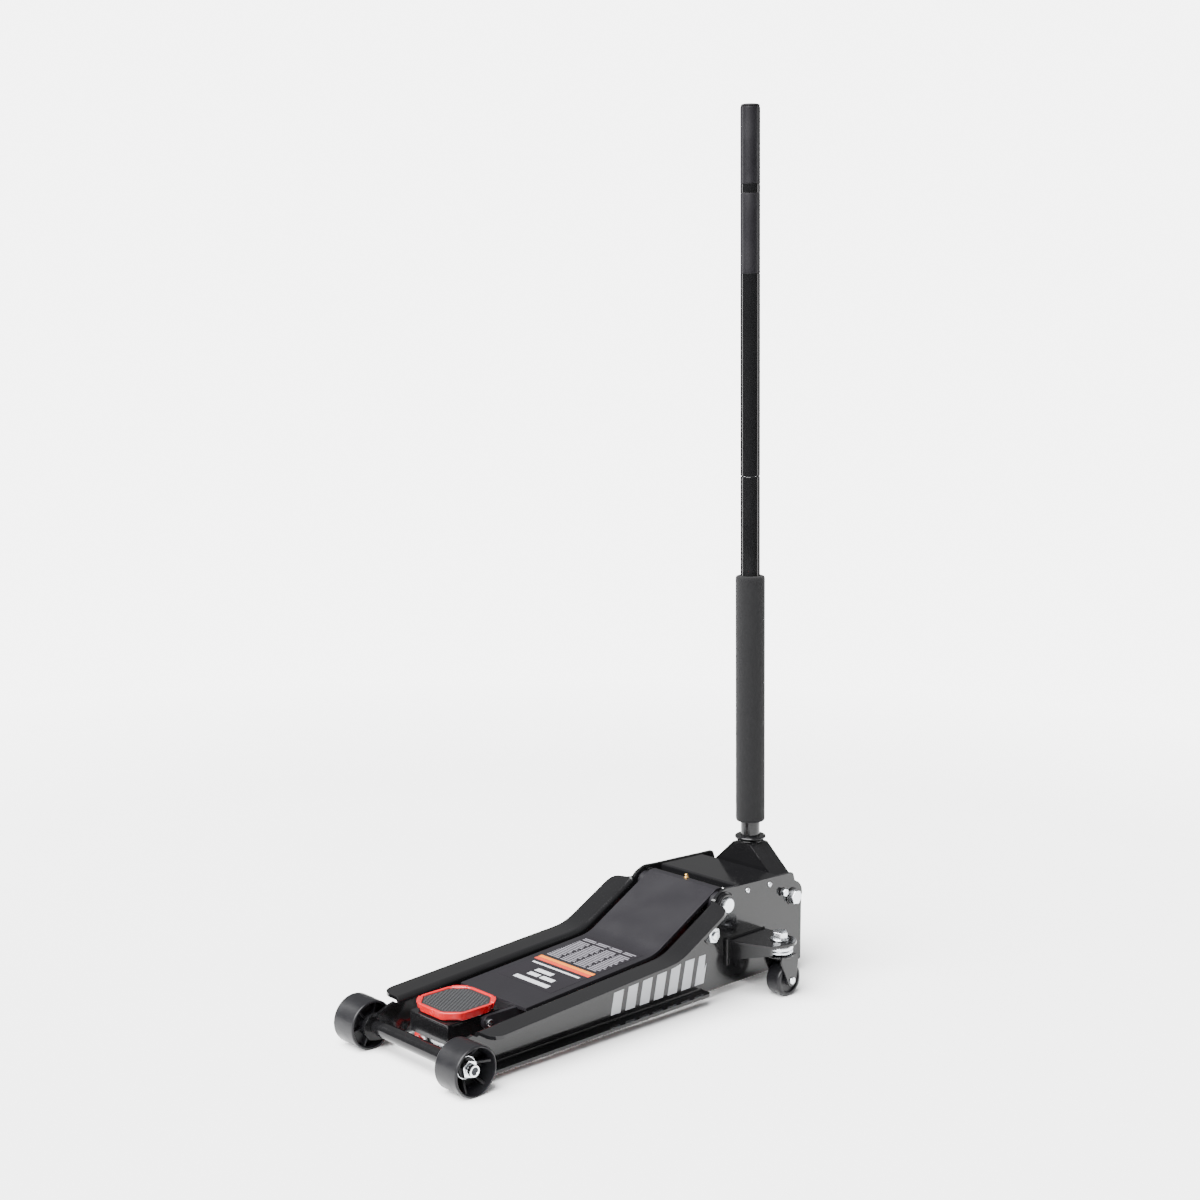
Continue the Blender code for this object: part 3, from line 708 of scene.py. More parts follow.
@dataclass
class FrontAxle:
    """The axle, its sleeve, the two dished wheels and their nuts."""

    z: float = AXLE_Z
    wheel_r: float = 38.0
    inner: float = 97.7
    outer: float = 146.9
    ribs: int = 6

    def wheel(self) -> bmesh.types.BMesh:
        """Turn one wheel: flat tread, thin rims, dished faces, a hub and radial ribs."""
        w = self.outer - self.inner
        r = self.wheel_r
        inside = [(8.6, 0), (14, 0), (15.2, 1.0), (15.5, 9), (18, 12), (32.0, 13.5), (33.6, 11.5)]
        tread = [(34.2, 1.0), (34.8, 0.2), (36.4, 0.2), (37.4, 0.9), (r, 2.6), (r, w - 3.2),
                 (37.6, w - 1.5), (36.6, w - 0.5), (35.6, w), (34.9, w - 0.3), (34.4, w - 1.4)]
        outside = [(33.4, 24.0), (31.6, 20.6), (20, 18.6), (17.2, 20), (16.0, 22.5), (15.7, w - 22.0),
                   (15.0, w - 21.2), (8.6, w - 21.2)]
        parts = [lathe(inside + tread + outside, (self.inner, 0, self.z), ACROSS, 96)]
        for i in range(self.ribs):
            rib = slab([(15.0, 17.5), (33.9, 21.0), (33.9, w - 8.0), (15.2, w - 24.0)],
                       Along.Y, -2.0, 2.0, 0.8)
            back = slab([(15.0, 10.0), (33.9, 12.5), (33.9, 5.5), (15.2, 5.0)], Along.Y, -1.5, 1.5, 0.6)
            for part in (rib, back):
                # the rib is drawn as (radius, depth) in X and Z; stand it up on the wheel's axis
                bmesh.ops.transform(part, verts=part.verts, matrix=Matrix(
                    ((0, 0, 1, self.inner), (0, 1, 0, 0), (1, 0, 0, 0), (0, 0, 0, 1))))
                bmesh.ops.recalc_face_normals(part, faces=part.faces)
                bmesh.ops.rotate(part, verts=part.verts, cent=(0, 0, 0),
                                 matrix=Matrix.Rotation(math.radians(39.5 + 360.0 / self.ribs * i), 3, "X"))
                bmesh.ops.translate(part, verts=part.verts, vec=(0, 0, self.z))
                parts.append(part)
        return merge(parts)

    def build(self) -> None:
        """Make the sleeve, axle, wheels and nuts."""
        sleeve = [(8.4, 0), (10.2, 0.5), (10.2, 8), (11.0, 10), (11.7, 11), (11.7, 168), (11.0, 169),
                  (10.2, 171), (10.2, 178.5), (8.4, 179)]
        publish("axle_tube", lathe(sleeve, (-89.5, 0, self.z), ACROSS, 64), GLOSS_BLACK, "chassis",
                ("axle_sleeve",))
        axle = [(0, 1.6), (5.4, 1.6), (5.9, 0.6), (6.2, 0), (8.4, 0), (8.9, 0.5), (8.9, 8.6), (8.0, 8.9),
                (8.0, 277.1), (8.9, 277.4), (8.9, 285.5), (8.4, 286), (6.2, 286), (5.9, 285.4),
                (5.4, 284.4), (0, 284.4)]
        publish("axle_bar", lathe(axle, (-143, 0, self.z), ACROSS, 48), CHROME, "chassis", ("front_axle",))
        for side in Side:
            # each axle end gets a near-black disc that paints in its dark centre
            face = lathe([(0, 0), (5.2, 0), (5.2, 1.0), (4.6, 1.5), (1.6, 1.5), (1.2, 0.9), (0, 0.9)],
                         (141.3, 0, self.z), ACROSS, 40)
            publish_side(side, "axle_end", face, AXLE_END_PAINTED_DARK)
            publish_side(side, "road_wheel", self.wheel(), WHEEL_BLACK, "wheel_" + side.word,
                         "front_wheel", 40.0)
            nut = HexBolt(across=24.5, head=9.6, washer=17.0, washer_thick=2.2, turn=11.0)
            publish_side(side, "wheel_nut", nut.shape((121.7, 0, self.z)), CHROME, node="axle_nut")
            boss = lathe([(8.5, 0), (14.5, 0), (15.5, 0.7), (15.5, 1.6), (8.5, 1.6)],
                         (PLATE_OUT + 0.1, 0, self.z), ACROSS, 48)
            publish_side(side, "axle_boss", boss, GLOSS_BLACK)


@dataclass
class RearCover:
    """The plate over the hydraulic unit, and its screws."""

    half: float = 89.5
    skirt: float = 2.8

    def build(self) -> None:
        """Fold the plate, its lips and its skirts, and screw it down."""
        line = rounded([(611, 156), (611, 168.2), (714.5, 164.2), (716, 154)], (0, 4.5, 3.5, 0), 5, False)
        under = rounded([(713, 154), (712, 161.3), (614, 165.1), (614, 156)], (0, 2.0, 2.5, 0), 4, False)
        parts = [slab(list(reversed(line + under)), Along.X, -self.half, self.half, 0.7)]
        skirt = [(612, 150), (612, 166), (715, 162), (715, 148)]
        for x0, x1 in ((-self.half, -self.half + self.skirt), (self.half - self.skirt, self.half)):
            parts.append(slab(list(reversed(skirt)), Along.X, x0, x1, 0.5))
        publish("top_cover", merge(parts), GLOSS_BLACK, "chassis", ("rear_cover",))
        for side in Side:
            head = [(0, 0), (4.6, 0), (4.6, 0.7), (3.9, 1.7), (2.4, 2.4), (1.4, 2.55), (1.2, 1.7), (0, 1.7)]
            screws = [lathe(head, (PLATE_OUT, y, z), ACROSS, 32) for y, z in ((627.7, 157.4), (683.1, 156.0))]
            publish_side(side, "cover_screws", merge(screws), ZINC)


@dataclass
class ChassisHardware:
    """Pivot shaft and collars, anchor bolts, socket bolts and the tie bar."""

    arm_pivot: tuple[float, float] = ARM_PIVOT
    anchor: tuple[float, float] = LINK_ANCHOR
    socket: tuple[float, float] = SOCKET_PIVOT
    seat: float = PLATE_OUT + 0.1

    def build(self) -> None:
        """Make each bolt, collar and shaft."""
        y, z = self.arm_pivot
        shaft = lathe(bar(13.0, 214.0, 1.4), (-107, y, z), ACROSS, 64)
        publish("arm_shaft", shaft, ZINC, "chassis", ("arm_pivot_shaft",))
        tie = lathe(bar(7.0, 179.0, 0.6), (-89.5, 330, 20), ACROSS, 40)
        publish("tie_bar", tie, GLOSS_BLACK, "chassis", ("frame_tie",))
        collar = [(13.2, 0), (20.6, 0), (21, 0.5), (21, 2.6), (20.0, 3.4), (18.6, 3.6), (18.6, 5.8),
                  (17.6, 6.8), (14.4, 7.0), (13.2, 6.4)]
        for side in Side:
            publish_side(side, "shaft_collar", lathe(collar, (PLATE_OUT + 0.2, y, z), ACROSS, 64),
                         GLOSS_BLACK, node="pivot_collar")
            self.anchor_bolt(side)
            self.socket_bolt(side)

    def anchor_bolt(self, side: Side) -> None:
        """Make the big bolt that anchors a link rod: black washer, nut and bolt end.

        Args:
            side: the side it is on.
        """
        y, z = self.anchor
        nut = HexBolt(across=24.0, head=7.6, turn=14.0).shape((self.seat + 2.2, y, z))
        end = lathe([(0, 0), (7.0, 0), (7.0, 3.0), (6.2, 4.0), (0, 4.4)], (self.seat + 9.2, y, z), ACROSS, 40)
        shank = lathe([(0, 0), (7, 0), (7, 35), (0, 35)], (61.5, y, z), ACROSS, 32)
        publish_side(side, "link_anchor", merge([nut, end, shank]), ZINC, node="link_anchor_bolt")
        washer = [(7.2, 0), (15.6, 0), (16, 0.4), (16, 1.9), (15.4, 2.3), (7.2, 2.3)]
        publish_side(side, "anchor_washer", lathe(washer, (self.seat, y, z), ACROSS, 56), GLOSS_BLACK)

    def socket_bolt(self, side: Side) -> None:
        """Make the bolt that the handle socket turns on, its washer and its keeper.

        Args:
            side: the side it is on.
        """
        y, z = self.socket
        head = HexBolt(across=22.4, head=8.4, turn=22.0).shape((self.seat + 2.8, y, z))
        shank = lathe([(0, 0), (8, 0), (8, 22), (0, 22)], (76.0, y, z), ACROSS, 32)
        publish_side(side, "socket_pivot", merge([head, shank]), ZINC, node="socket_bolt")
        washer = [(8.2, 0), (14.8, 0), (15.4, 0.5), (15.4, 1.3), (13.8, 1.6), (13.2, 2.8), (8.2, 2.8)]
        publish_side(side, "socket_washer", lathe(washer, (self.seat, y, z), ACROSS, 56), GLOSS_BLACK)
        keeper = HexBolt(across=12.0, head=6.4, turn=5.0).shape((self.seat + 2.0, 716, 136))
        publish_side(side, "keeper_screw", keeper, ZINC)
        corners = [(708.3, 130.3), (723.8, 130.3), (723.8, 137), (721, 142.8), (711, 142.8), (708.3, 137)]
        clip = slab(rounded(corners, (1.5,) * 6, 3), Along.X, self.seat, self.seat + 2.2, 0.5)
        publish_side(side, "keeper_clip", clip, GLOSS_BLACK, node="bolt_keeper")


@dataclass
class Caster:
    """One rear caster with the bracket that carries it."""

    side: Side
    x: float = 152.0
    y: float = 645.0
    trail: float = 10.0
    radius: float = 28.0
    hub_z: float = 14.7

    def bracket(self) -> None:
        """Make the seat plate, its tapering apron, the corner tab and the welds."""
        web = PLATE_OUT + 0.1
        plate = [(web, 579), (101, 579.5), (168, 606)] + arc((self.x, self.y), 27.6, -14, 82, 10)
        plate += [(130, 673.5), (web, 671.5)]
        seat = slab(rounded(plate, [0, 4, 9] + [0] * 11 + [6, 0], 4), Along.Z, 77.5, 83.0, 0.8)
        plan = [(web, 579), (101, 579.5), (166.5, 605.6), (166.5, 611.2), (100, 585.2), (web, 585)]
        apron = slab(plan, Along.Z, 49, 82.2)
        cut = bmesh.ops.bisect_plane(apron, geom=apron.verts[:] + apron.edges[:] + apron.faces[:],
                                     plane_co=(100, 580, 50), plane_no=Vector((16.0, 0, -66.0)).normalized(),
                                     clear_outer=True)["geom_cut"]
        bmesh.ops.contextual_create(apron, geom=[g for g in cut if isinstance(g, bmesh.types.BMEdge)])
        bmesh.ops.recalc_face_normals(apron, faces=apron.faces)
        soften(apron, 0.9, 2, 40.0)
        tab = slab([(web, 572.3), (100.6, 572.3), (100.6, 579.2), (web, 579.2)], Along.Z, 42.5, 87.6, 1.2)
        beads = [weld_bead([(96.4, 579.6, 84.2), (96.4, 671, 84.2)], 1.5),
                 weld_bead([(101.0, 580.6, 82.8), (101.0, 580.6, 51.0)], 1.3),
                 weld_bead([(97.2, 571.6, 44.0), (97.2, 571.6, 86.0)], 1.2)]
        publish_side(self.side, "caster_seat", merge([seat, apron, tab] + beads), GLOSS_BLACK,
                     node="caster_bracket")

    def swivel(self) -> None:
        """Make the stud with its washer, and the two bearing races."""
        stud = HexBolt(across=23.0, head=12.0, washer=15.8, washer_thick=2.2, turn=17.0)
        head = stud.shape((self.x, self.y, 83.2), UPWARD)
        shank = lathe([(0, 0), (9.6, 0), (10.4, 0.8), (10.4, 2.0), (7.8, 2.4), (7.8, 31.2), (0, 31.2)],
                      (self.x, self.y, 52.6), UPWARD, 40)
        publish_side(self.side, "swivel_stud", merge([head, shank]), ZINC, node="caster_stud")
        race = [(8.2, 0), (16.5, 0), (19.9, 0.9), (21.7, 2.8), (22.0, 5.0), (21.4, 6.8), (20.6, 7.4),
                (21.4, 8.0), (22.0, 9.6), (21.9, 13.4), (20.6, 15.6), (17.5, 16.7), (8.2, 16.8)]
        publish_side(self.side, "bearing_race", lathe(race, (self.x, self.y, 60.4), UPWARD, 72), ZINC,
                     node="swivel_race")

    def fork(self) -> None:
        """Press the fork: a domed crown and two tapering legs, with the axle rivet."""
        crown = [(8.2, 0), (19.0, 0), (21.6, 0.4), (22.5, 1.6), (22.3, 3.2), (20.6, 4.4), (8.2, 4.6)]
        parts = [lathe(crown, (self.x, self.y, 55.4), UPWARD, 64)]
        hub = (self.y + self.trail, self.hub_z)
        leg = [(self.y - 16.5, 59.2), (self.y - 17.5, 50.0)] + arc(hub, 10.2, 195, 358, 14)
        leg += [(self.y + 25.0, 46.0), (self.y + 19.5, 59.2)]
        for x0, x1 in ((16.3, 19.6), (-19.6, -16.3)):
            parts.append(slab(leg, Along.X, self.x + x0, self.x + x1, 0.8))
        body = "fork_" + self.side.word
        publish_side(self.side, "swivel_fork", merge(parts), GLOSS_BLACK, body, "caster_fork")
        rivet = [(0, 0), (4.0, 0.1), (5.6, 0.8), (6.0, 1.8), (6.0, 2.6), (4.1, 2.7), (4.1, 41.9), (6.0, 42.0),
                 (6.0, 42.8), (5.6, 43.8), (4.0, 44.5), (0, 44.6)]
        publish_side(self.side, "roller_rivet", lathe(rivet, (self.x - 22.3, *hub), ACROSS, 40), ZINC, body,
                     "caster_axle")

    def roller(self) -> None:
        """Turn the caster's wheel."""
        r = self.radius
        half = [(4.6, 15), (8.4, 15), (9.4, 14.2), (9.8, 10.5), (11.5, 9.6), (19.0, 9.6), (20.6, 10.6),
                (21.1, 13.2), (21.8, 14.2), (24.6, 14.4), (26.4, 13.6), (27.6, 11.8), (r, 9.0)]
        profile = [(a, -b) for a, b in half] + list(reversed(half))
        wheel = lathe(profile, (self.x, self.y + self.trail, self.hub_z), ACROSS, 80)
        publish_side(self.side, "caster_roller", wheel, WHEEL_BLACK, "roller_" + self.side.word,
                     "caster_wheel", 42.0)

    def build(self) -> None:
        """Make the whole caster."""
        self.bracket()
        self.swivel()
        self.fork()
        self.roller()


# --------------------------------------------------------------------------
# Lifting gear


@dataclass
class LiftArm:
    """The arm: a bent top plate over two cheeks, a pivot tube and a lever."""

    pivot: tuple[float, float] = ARM_PIVOT
    saddle_pin: tuple[float, float] = SADDLE_PIN
    lever_pin: tuple[float, float] = (599.22, 73.68)
    half: float = 77.0
    front: tuple[float, float] = (154.0, 72.5)
    bend: tuple[float, float] = (426.0, 89.5)

    def plate(self) -> bmesh.types.BMesh:
        """Bend the top plate and round its corners."""
        top = rounded([self.front, self.bend, (571.5, 168.4), (585, 168.0), (592, 158)],
                      (0, 75, 9, 8, 0), 8, False)
        low = rounded([(586.3, 155.5), (581, 162.2), (573.6, 161.9), (427.4, 83.3), (154, 66.5)],
                      (0, 4, 4, 69, 0), 8, False)
        return slab(list(reversed(top + low)), Along.X, -self.half, self.half, 1.1)

    def cheeks(self) -> list[bmesh.types.BMesh]:
        """Cut the two cheeks with their saddle eyes and their lever ends."""
        edge = arc(self.saddle_pin, 11.0, 262, 100, 12)
        edge += [(154, 69.5), (427, 85.8), (568, 163.0), (584, 162.0)]
        edge += arc(self.pivot, 23.0, 38, -8, 6)
        edge += arc(self.lever_pin, 14.0, 20, -150, 14)
        edge += [(562, 100), (548, 90), (500, 73), (400, 45), (250, 38), (130, 45)]
        edge.reverse()
        return [slab(edge, Along.X, a, b, 0.9) for a, b in ((50.0, 57.0), (-57.0, -50.0))]

    def build(self) -> None:
        """Weld the arm together and fit its pins and its grease nipple."""
        y, z = self.pivot
        tube = lathe(bar(17.5, 178.0, 0.9, 13.3), (-89, y, z), ACROSS, 56)
        parts = [self.plate(), tube] + self.cheeks()
        parts.append(slab([(155, 44), (159, 44), (159, 68), (155, 68)], Along.X, -50.4, 50.4, 0.6))
        for sign in (-1, 1):
            for x in (49.2, 57.8):
                ring = [(sign * x, p[0], p[1]) for p in arc(self.pivot, 18.4, -30, 330, 16)]
                parts.append(weld_bead(ring, 1.4))
            boss = [(9.2, 0), (13.4, 0), (13.4, 2.4), (9.2, 2.4)]
            base = 57.0 if sign > 0 else -59.4
            parts.append(lathe(boss, (base, *self.lever_pin), ACROSS, 40))
        publish("arm_weldment", merge(parts), SATIN_BLACK, "arm", ("lift_arm",), 34.0)
        pin = lathe(bar(9.0, 122.0, 1.0), (-61, *self.lever_pin), ACROSS, 40)
        publish("lever_bar", pin, ZINC, "arm", ("lever_pin",))
        pin = lathe(bar(5.5, 122.0, 0.8), (-61, *self.saddle_pin), ACROSS, 40)
        publish("saddle_bar", pin, ZINC, "arm", ("saddle_pin",))
        nipple = [(0, 0), (3, 0), (3, 5.2), (5.0, 5.2), (5.0, 8.6), (3.2, 9.0), (2.6, 10.4), (2.3, 11.6),
                  (3.0, 12.4), (3.2, 13.6), (2.4, 14.6), (1.0, 15.0), (0, 14.6)]
        nipple = lathe(nipple, (0, 580, 160.5), UPWARD, 32)
        publish("grease_nipple", nipple, BRASS, "arm", ("grease_fitting",))
        self.panel()

    def panel(self) -> None:
        """Lay the plain printed panel on the flat of the arm."""
        run = self.bend[0] - self.front[0]
        slope = math.atan2(self.bend[1] - self.front[1], run)
        lay = Matrix.Translation((0, self.front[0], self.front[1])) @ Matrix.Rotation(slope, 4, "X")

        def film(name: str, boxes: Sequence[tuple[float, float, float, float]], level: float,
                 finish: Finish) -> None:
            """Lay thin rectangles of one film: x0, x1 and the start and end along the arm."""
            parts = []
            for x0, x1, d0, d1 in boxes:
                shape = rounded([(x0, d0), (x1, d0), (x1, d1), (x0, d1)], (0.8,) * 4, 3)
                parts.append(slab(shape, Along.Z, -0.2, level))
            bm = merge(parts)
            bmesh.ops.transform(bm, verts=bm.verts, matrix=lay)
            publish(name, bm, finish, "arm", weighted=False)

        film("arm_panel", [(-64, 64, 62, 262)], 0.25, VINYL_DARK)
        film("arm_stripe_amber", [(-63, 63, 149, 157)], 0.42, VINYL_AMBER)
        film("arm_stripe_coral", [(-63, 63, 140.5, 148.4)], 0.42, VINYL_CORAL)
        rows = []
        for i in range(17):
            start = 165.0 + 5.0 * i + (4.0 if i > 14 else 0.0)
            for j, (x0, x1) in enumerate(((-60, -31), (-28.5, 0), (3, 31), (33.5, 60))):
                short = ((i * 7 + j * 3) % 5) * 1.4
                rows.append((x0, x1 - short, start, start + 2.5))
        film("arm_fine_lines", rows, 0.38, VINYL_GREY)
        bars = [(-34, 44, 70, 80), (-24, 0, 90, 100), (5, 34, 90, 100), (-24, 14, 106, 116),
                (-54, 54, 128, 132.5)]
        film("arm_white_bars", bars, 0.4, VINYL_WHITE)


@dataclass
class Saddle:
    """The bracket, the turning cup and its rubber pad."""

    y: float = 83.0
    radius: float = 59.6
    top: float = 84.0
    base: float = 71.0
    rim: float = 6.2
    tip: float = 17.0
    flat: float = 0.985
    stud_pitch: float = 6.2
    link: tuple[float, float] = LINK_PIN

    def ring(self, radius: float) -> list[tuple[float, float]]:
        """Return the cup's outline: four tips on the diagonals and four long flats."""
        corners = []
        for i in range(4):
            mid = 45.0 + 90.0 * i
            for d in (-self.tip, self.tip):
                t = math.radians(mid + d)
                corners.append((radius * self.flat * math.cos(t), self.y + radius * self.flat * math.sin(t)))
        return rounded(corners, [15.0] * 8, 6)

    def cup(self) -> bmesh.types.BMesh:
        """Cast the cup: a tapering wall with a flat rim and four raised tips."""
        bm = slab(self.ring(self.radius), Along.Z, self.base, self.top)
        floor = [v for v in bm.verts if v.co.z < self.base + 0.01]
        bmesh.ops.scale(bm, verts=floor, vec=(0.94, 0.94, 1), space=Matrix.Translation((0, -self.y, 0)))
        lid = max(bm.faces, key=lambda f: f.calc_center_median().z)
        bmesh.ops.inset_region(bm, faces=[lid], thickness=5.2, depth=0)
        bmesh.ops.inset_region(bm, faces=[lid], thickness=0.6, depth=-7.0)
        soften(bm, 1.1, 3, 40.0)
        return bm

    def tips(self) -> list[bmesh.types.BMesh]:
        """Cast the four low lugs that stand out at the cup's tips."""
        lugs = []
        for i in range(4):
            mid = 45.0 + 90.0 * i
            shape = arc((0, self.y), self.radius, mid - 13, mid + 13, 6)
            shape += arc((0, self.y), self.radius - self.rim, mid + 11, mid - 11, 6)
            lug = slab(shape, Along.Z, self.base + 3.0, self.top + 0.5)
            low = [v for v in lug.verts if v.co.z < self.base + 3.1]
            bmesh.ops.scale(lug, verts=low, vec=(0.955, 0.955, 1), space=Matrix.Translation((0, -self.y, 0)))
            lugs.append(soften(lug, 1.0, 3))
        return lugs

    def studs(self) -> bmesh.types.BMesh:
        """Mould the rows of small raised four-sided studs on the pad."""
        parts = []
        reach = self.radius - 10.6
        rows = 12
        for row in range(-rows, rows + 1):
            for col in range(-rows, rows + 1):
                x = (col + 0.5 * (row % 2)) * self.stud_pitch
                y = row * self.stud_pitch * 0.866
                lean = abs(abs(x) - abs(y)) / math.sqrt(2)
                in_tip = (abs(x) + abs(y)) / math.sqrt(2) > reach - 1.2 and lean < 14
                past_flat = max(abs(x), abs(y)) > reach * 0.86
                if math.hypot(x, y) > reach or in_tip or past_flat:
                    continue
                stud = fresh()
                bmesh.ops.create_cone(stud, cap_ends=True, segments=4, radius1=3.3, radius2=0.8, depth=2.4)
                bmesh.ops.rotate(stud, verts=stud.verts, matrix=Matrix.Rotation(math.radians(45), 3, "Z"))
                bmesh.ops.translate(stud, verts=stud.verts, vec=(x, self.y + y, self.top - 0.9))
                parts.append(stud)
        return merge(parts)

    def bracket(self) -> bmesh.types.BMesh:
        """Fold the bracket under the cup, with ears down to the link pin."""
        tray = rounded([(-45, 30), (45, 30), (45, 130), (-45, 130)], (5, 5, 4, 4), 4)
        parts = [slab(tray, Along.Z, 65.5, 69.5, 0.9)]
        ear = [(30.5, 38), (30.5, 67.5), (129, 67.5), (129, 60), (118, 48), (93, 44)]
        ear += arc(self.link, 9.5, 20, -190, 14) + [(50, 36)]
        for a, b in ((39.0, 45.0), (-45.0, -39.0)):
            parts.append(slab(rounded(ear, [4, 0, 0, 5, 8, 10] + [0] * 15 + [6], 3), Along.X, a, b, 0.9))
        parts.append(slab([(-44.2, 37), (44.2, 37), (44.2, 67), (-44.2, 67)], Along.Y, 30.2, 36.0, 1.4))
        for side in (-1, 1):
            parts.append(weld_bead([(side * 43.6, 31.4, 40), (side * 43.6, 31.4, 64)], 1.3))
            parts.append(weld_bead([(side * 45.2, 38, 66.2), (side * 45.2, 124, 66.2)], 1.2))
        return merge(parts)

    def build(self) -> None:
        """Make the bracket, cup, pad and link pin."""
        publish("saddle_cradle", self.bracket(), GLOSS_BLACK, "saddle_mount", ("saddle_bracket",))
        pin = lathe(bar(5.5, 148.0, 0.8), (-74, *self.link), ACROSS, 40)
        publish("link_bar", pin, ZINC, "saddle_mount", ("link_pin",))
        stem = lathe([(0, 0), (10.2, 0), (11, 0.8), (11, 9.5), (0, 9.5)], (0, self.y, 62.6), UPWARD, 40)
        cup = merge([self.cup(), stem] + self.tips())
        publish("lifting_saddle", cup, GLOSS_RED, "saddle", ("saddle_cup",), 36.0)
        pad = slab(self.ring(self.radius - self.rim), Along.Z, 77.2, self.top - 1.6, 0.7)
        publish("saddle_grip_pad", pad, RUBBER, "saddle", ("saddle_pad",), 30.0)
        # the studs take the lighter grey rubber, a painted highlight on their tops
        publish("saddle_grip_studs", self.studs(), STUD_HIGHLIGHT_RUBBER, "saddle", (), 30.0, False)


@dataclass
class LinkRods:
    """The two bent link rods that keep the saddle level."""

    pin: tuple[float, float] = LINK_PIN
    anchor: tuple[float, float] = LINK_ANCHOR
    depth: float = 9.0

    def build(self) -> None:
        """Make each rod with its eye and its boss."""
        centre = [(69.5, 16.4), (250, 30), (400, 50), (450, 64), (535, 101.3)]
        bends = (0, 60, 60, 60, 0)
        upper = rounded([(y, z + self.depth / 2) for y, z in centre], bends, 5, False)
        lower = rounded([(y, z - self.depth / 2) for y, z in centre], bends, 5, False)
        upper.reverse()
        for side in Side:
            parts = [slab(lower + upper, Along.X, 62.6, 70.4, 1.2),
                     lathe(bar(9.0, 9.0, 0.6, 5.7), (62, *self.pin), ACROSS, 40),
                     lathe(bar(12.5, 18.0, 0.6, 7.2), (62, *self.anchor), ACROSS, 48)]
            publish_side(side, "levelling_link", merge(parts), GLOSS_RED, "links", "link_rod")


# --------------------------------------------------------------------------
# Hydraulic unit


@dataclass
class PowerUnit:
    """Base plate, pump block, cylinder, ram and head, plunger and release valve."""

    ram_z: float = 74.0
    plunger: tuple[float, float] = (30.0, 95.0)
    pivot: tuple[float, float] = SOCKET_PIVOT

    def block(self) -> None:
        """Make the base plate, the cast pump block and its plugs."""
        base = slab([(-89.2, 640), (89.2, 640), (89.2, 716), (-89.2, 716)], Along.Z, 24.0, 30.0, 1.0)
        publish("unit_bed", base, GLOSS_BLACK, "chassis", ("unit_base",))
        face = [(-48, 30.4), (48, 30.4), (48, 100), (38, 112), (-38, 112), (-48, 100)]
        body = slab(rounded(face, (3, 3, 5, 5, 5, 5), 4), Along.Y, 655, 700, 1.8, 3)
        publish("pump_casting", body, CASTING, "chassis", ("pump_block",))
        top_plug = HexBolt(across=13.0, head=6.0, washer=8.4, washer_thick=1.4)
        plugs = [top_plug.shape((x, y, 111.6), UPWARD) for x, y in ((-22, 668), (20, 688))]
        rear_plug = HexBolt(across=11.0, head=5.0)
        plugs += [rear_plug.shape((x, 699.6, z), REARWARD) for x, z in ((-34, 92), (-34, 52), (38, 52))]
        publish("pump_plugs", merge(plugs), ZINC, "chassis")

    def cylinder(self) -> None:
        """Make the cylinder, the ram that slides in it and the ram's head."""
        gland = [(15.3, 0), (22, 0), (23, 1.0), (23, 3.4), (31, 3.8), (34, 4.4), (35, 6.0), (35, 30.0),
                 (33.6, 31.6), (15.3, 31.6)]
        publish("cylinder_casting", lathe(gland, (0, 622.9, self.ram_z), REARWARD, 72), CASTING, "chassis",
                ("hydraulic_cylinder",))
        ram = [(0, 0), (13.8, 0), (15, 1.2), (15, 75.5), (0, 75.5)]
        publish("lifting_ram", lathe(ram, (0, 618.4, self.ram_z), REARWARD, 56), CHROME, "ram", ("ram_rod",))
        face = rounded([(-30, 56), (30, 56), (30, 92), (-30, 92)], (6,) * 4, 4)
        publish("ram_crosshead", slab(face, Along.Y, 608.8, 618.2, 1.2), CASTING, "ram", ("ram_head",))

    def pump(self) -> None:
        """Make the pump's plunger with its gland, and the release valve's stem."""
        px, pz = self.plunger
        rod = [(0, 0), (8, 0), (8, 36.2), (10.2, 36.2), (11, 37), (11, 40.4), (10.2, 41.4), (0, 41.4)]
        publish("pump_ram", lathe(rod, (px, 690.4, pz), REARWARD, 48), CHROME, "plunger", ("pump_plunger",))
        cup = [(8.3, 0), (12.4, 0), (12.4, 1.4), (11.6, 2.0), (8.3, 2.0)]
        publish("plunger_gland", lathe(cup, (px, 699.8, pz), REARWARD, 40), ZINC, "chassis")
        low = Vector((0, 706.4, 98.6))
        high = Vector((0, *self.pivot))
        reach = (high - low).length
        stem = [(0, 0), (8, 0), (8.5, 0.5), (8.5, 3.4), (7.4, 4.2), (4.5, 5.4), (4.5, reach - 5.0),
                (5.8, reach - 3.8), (6.6, reach - 1.6), (6.8, reach), (6.6, reach + 1.6),
                (5.6, reach + 3.8), (3.4, reach + 5.3), (0, reach + 5.9)]
        publish("valve_stem", lathe(stem, low, high - low, 40), ZINC, "valve", ("release_valve",))

    def build(self) -> None:
        """Make the whole unit."""
        self.block()
        self.cylinder()
        self.pump()


# --------------------------------------------------------------------------
# Handle


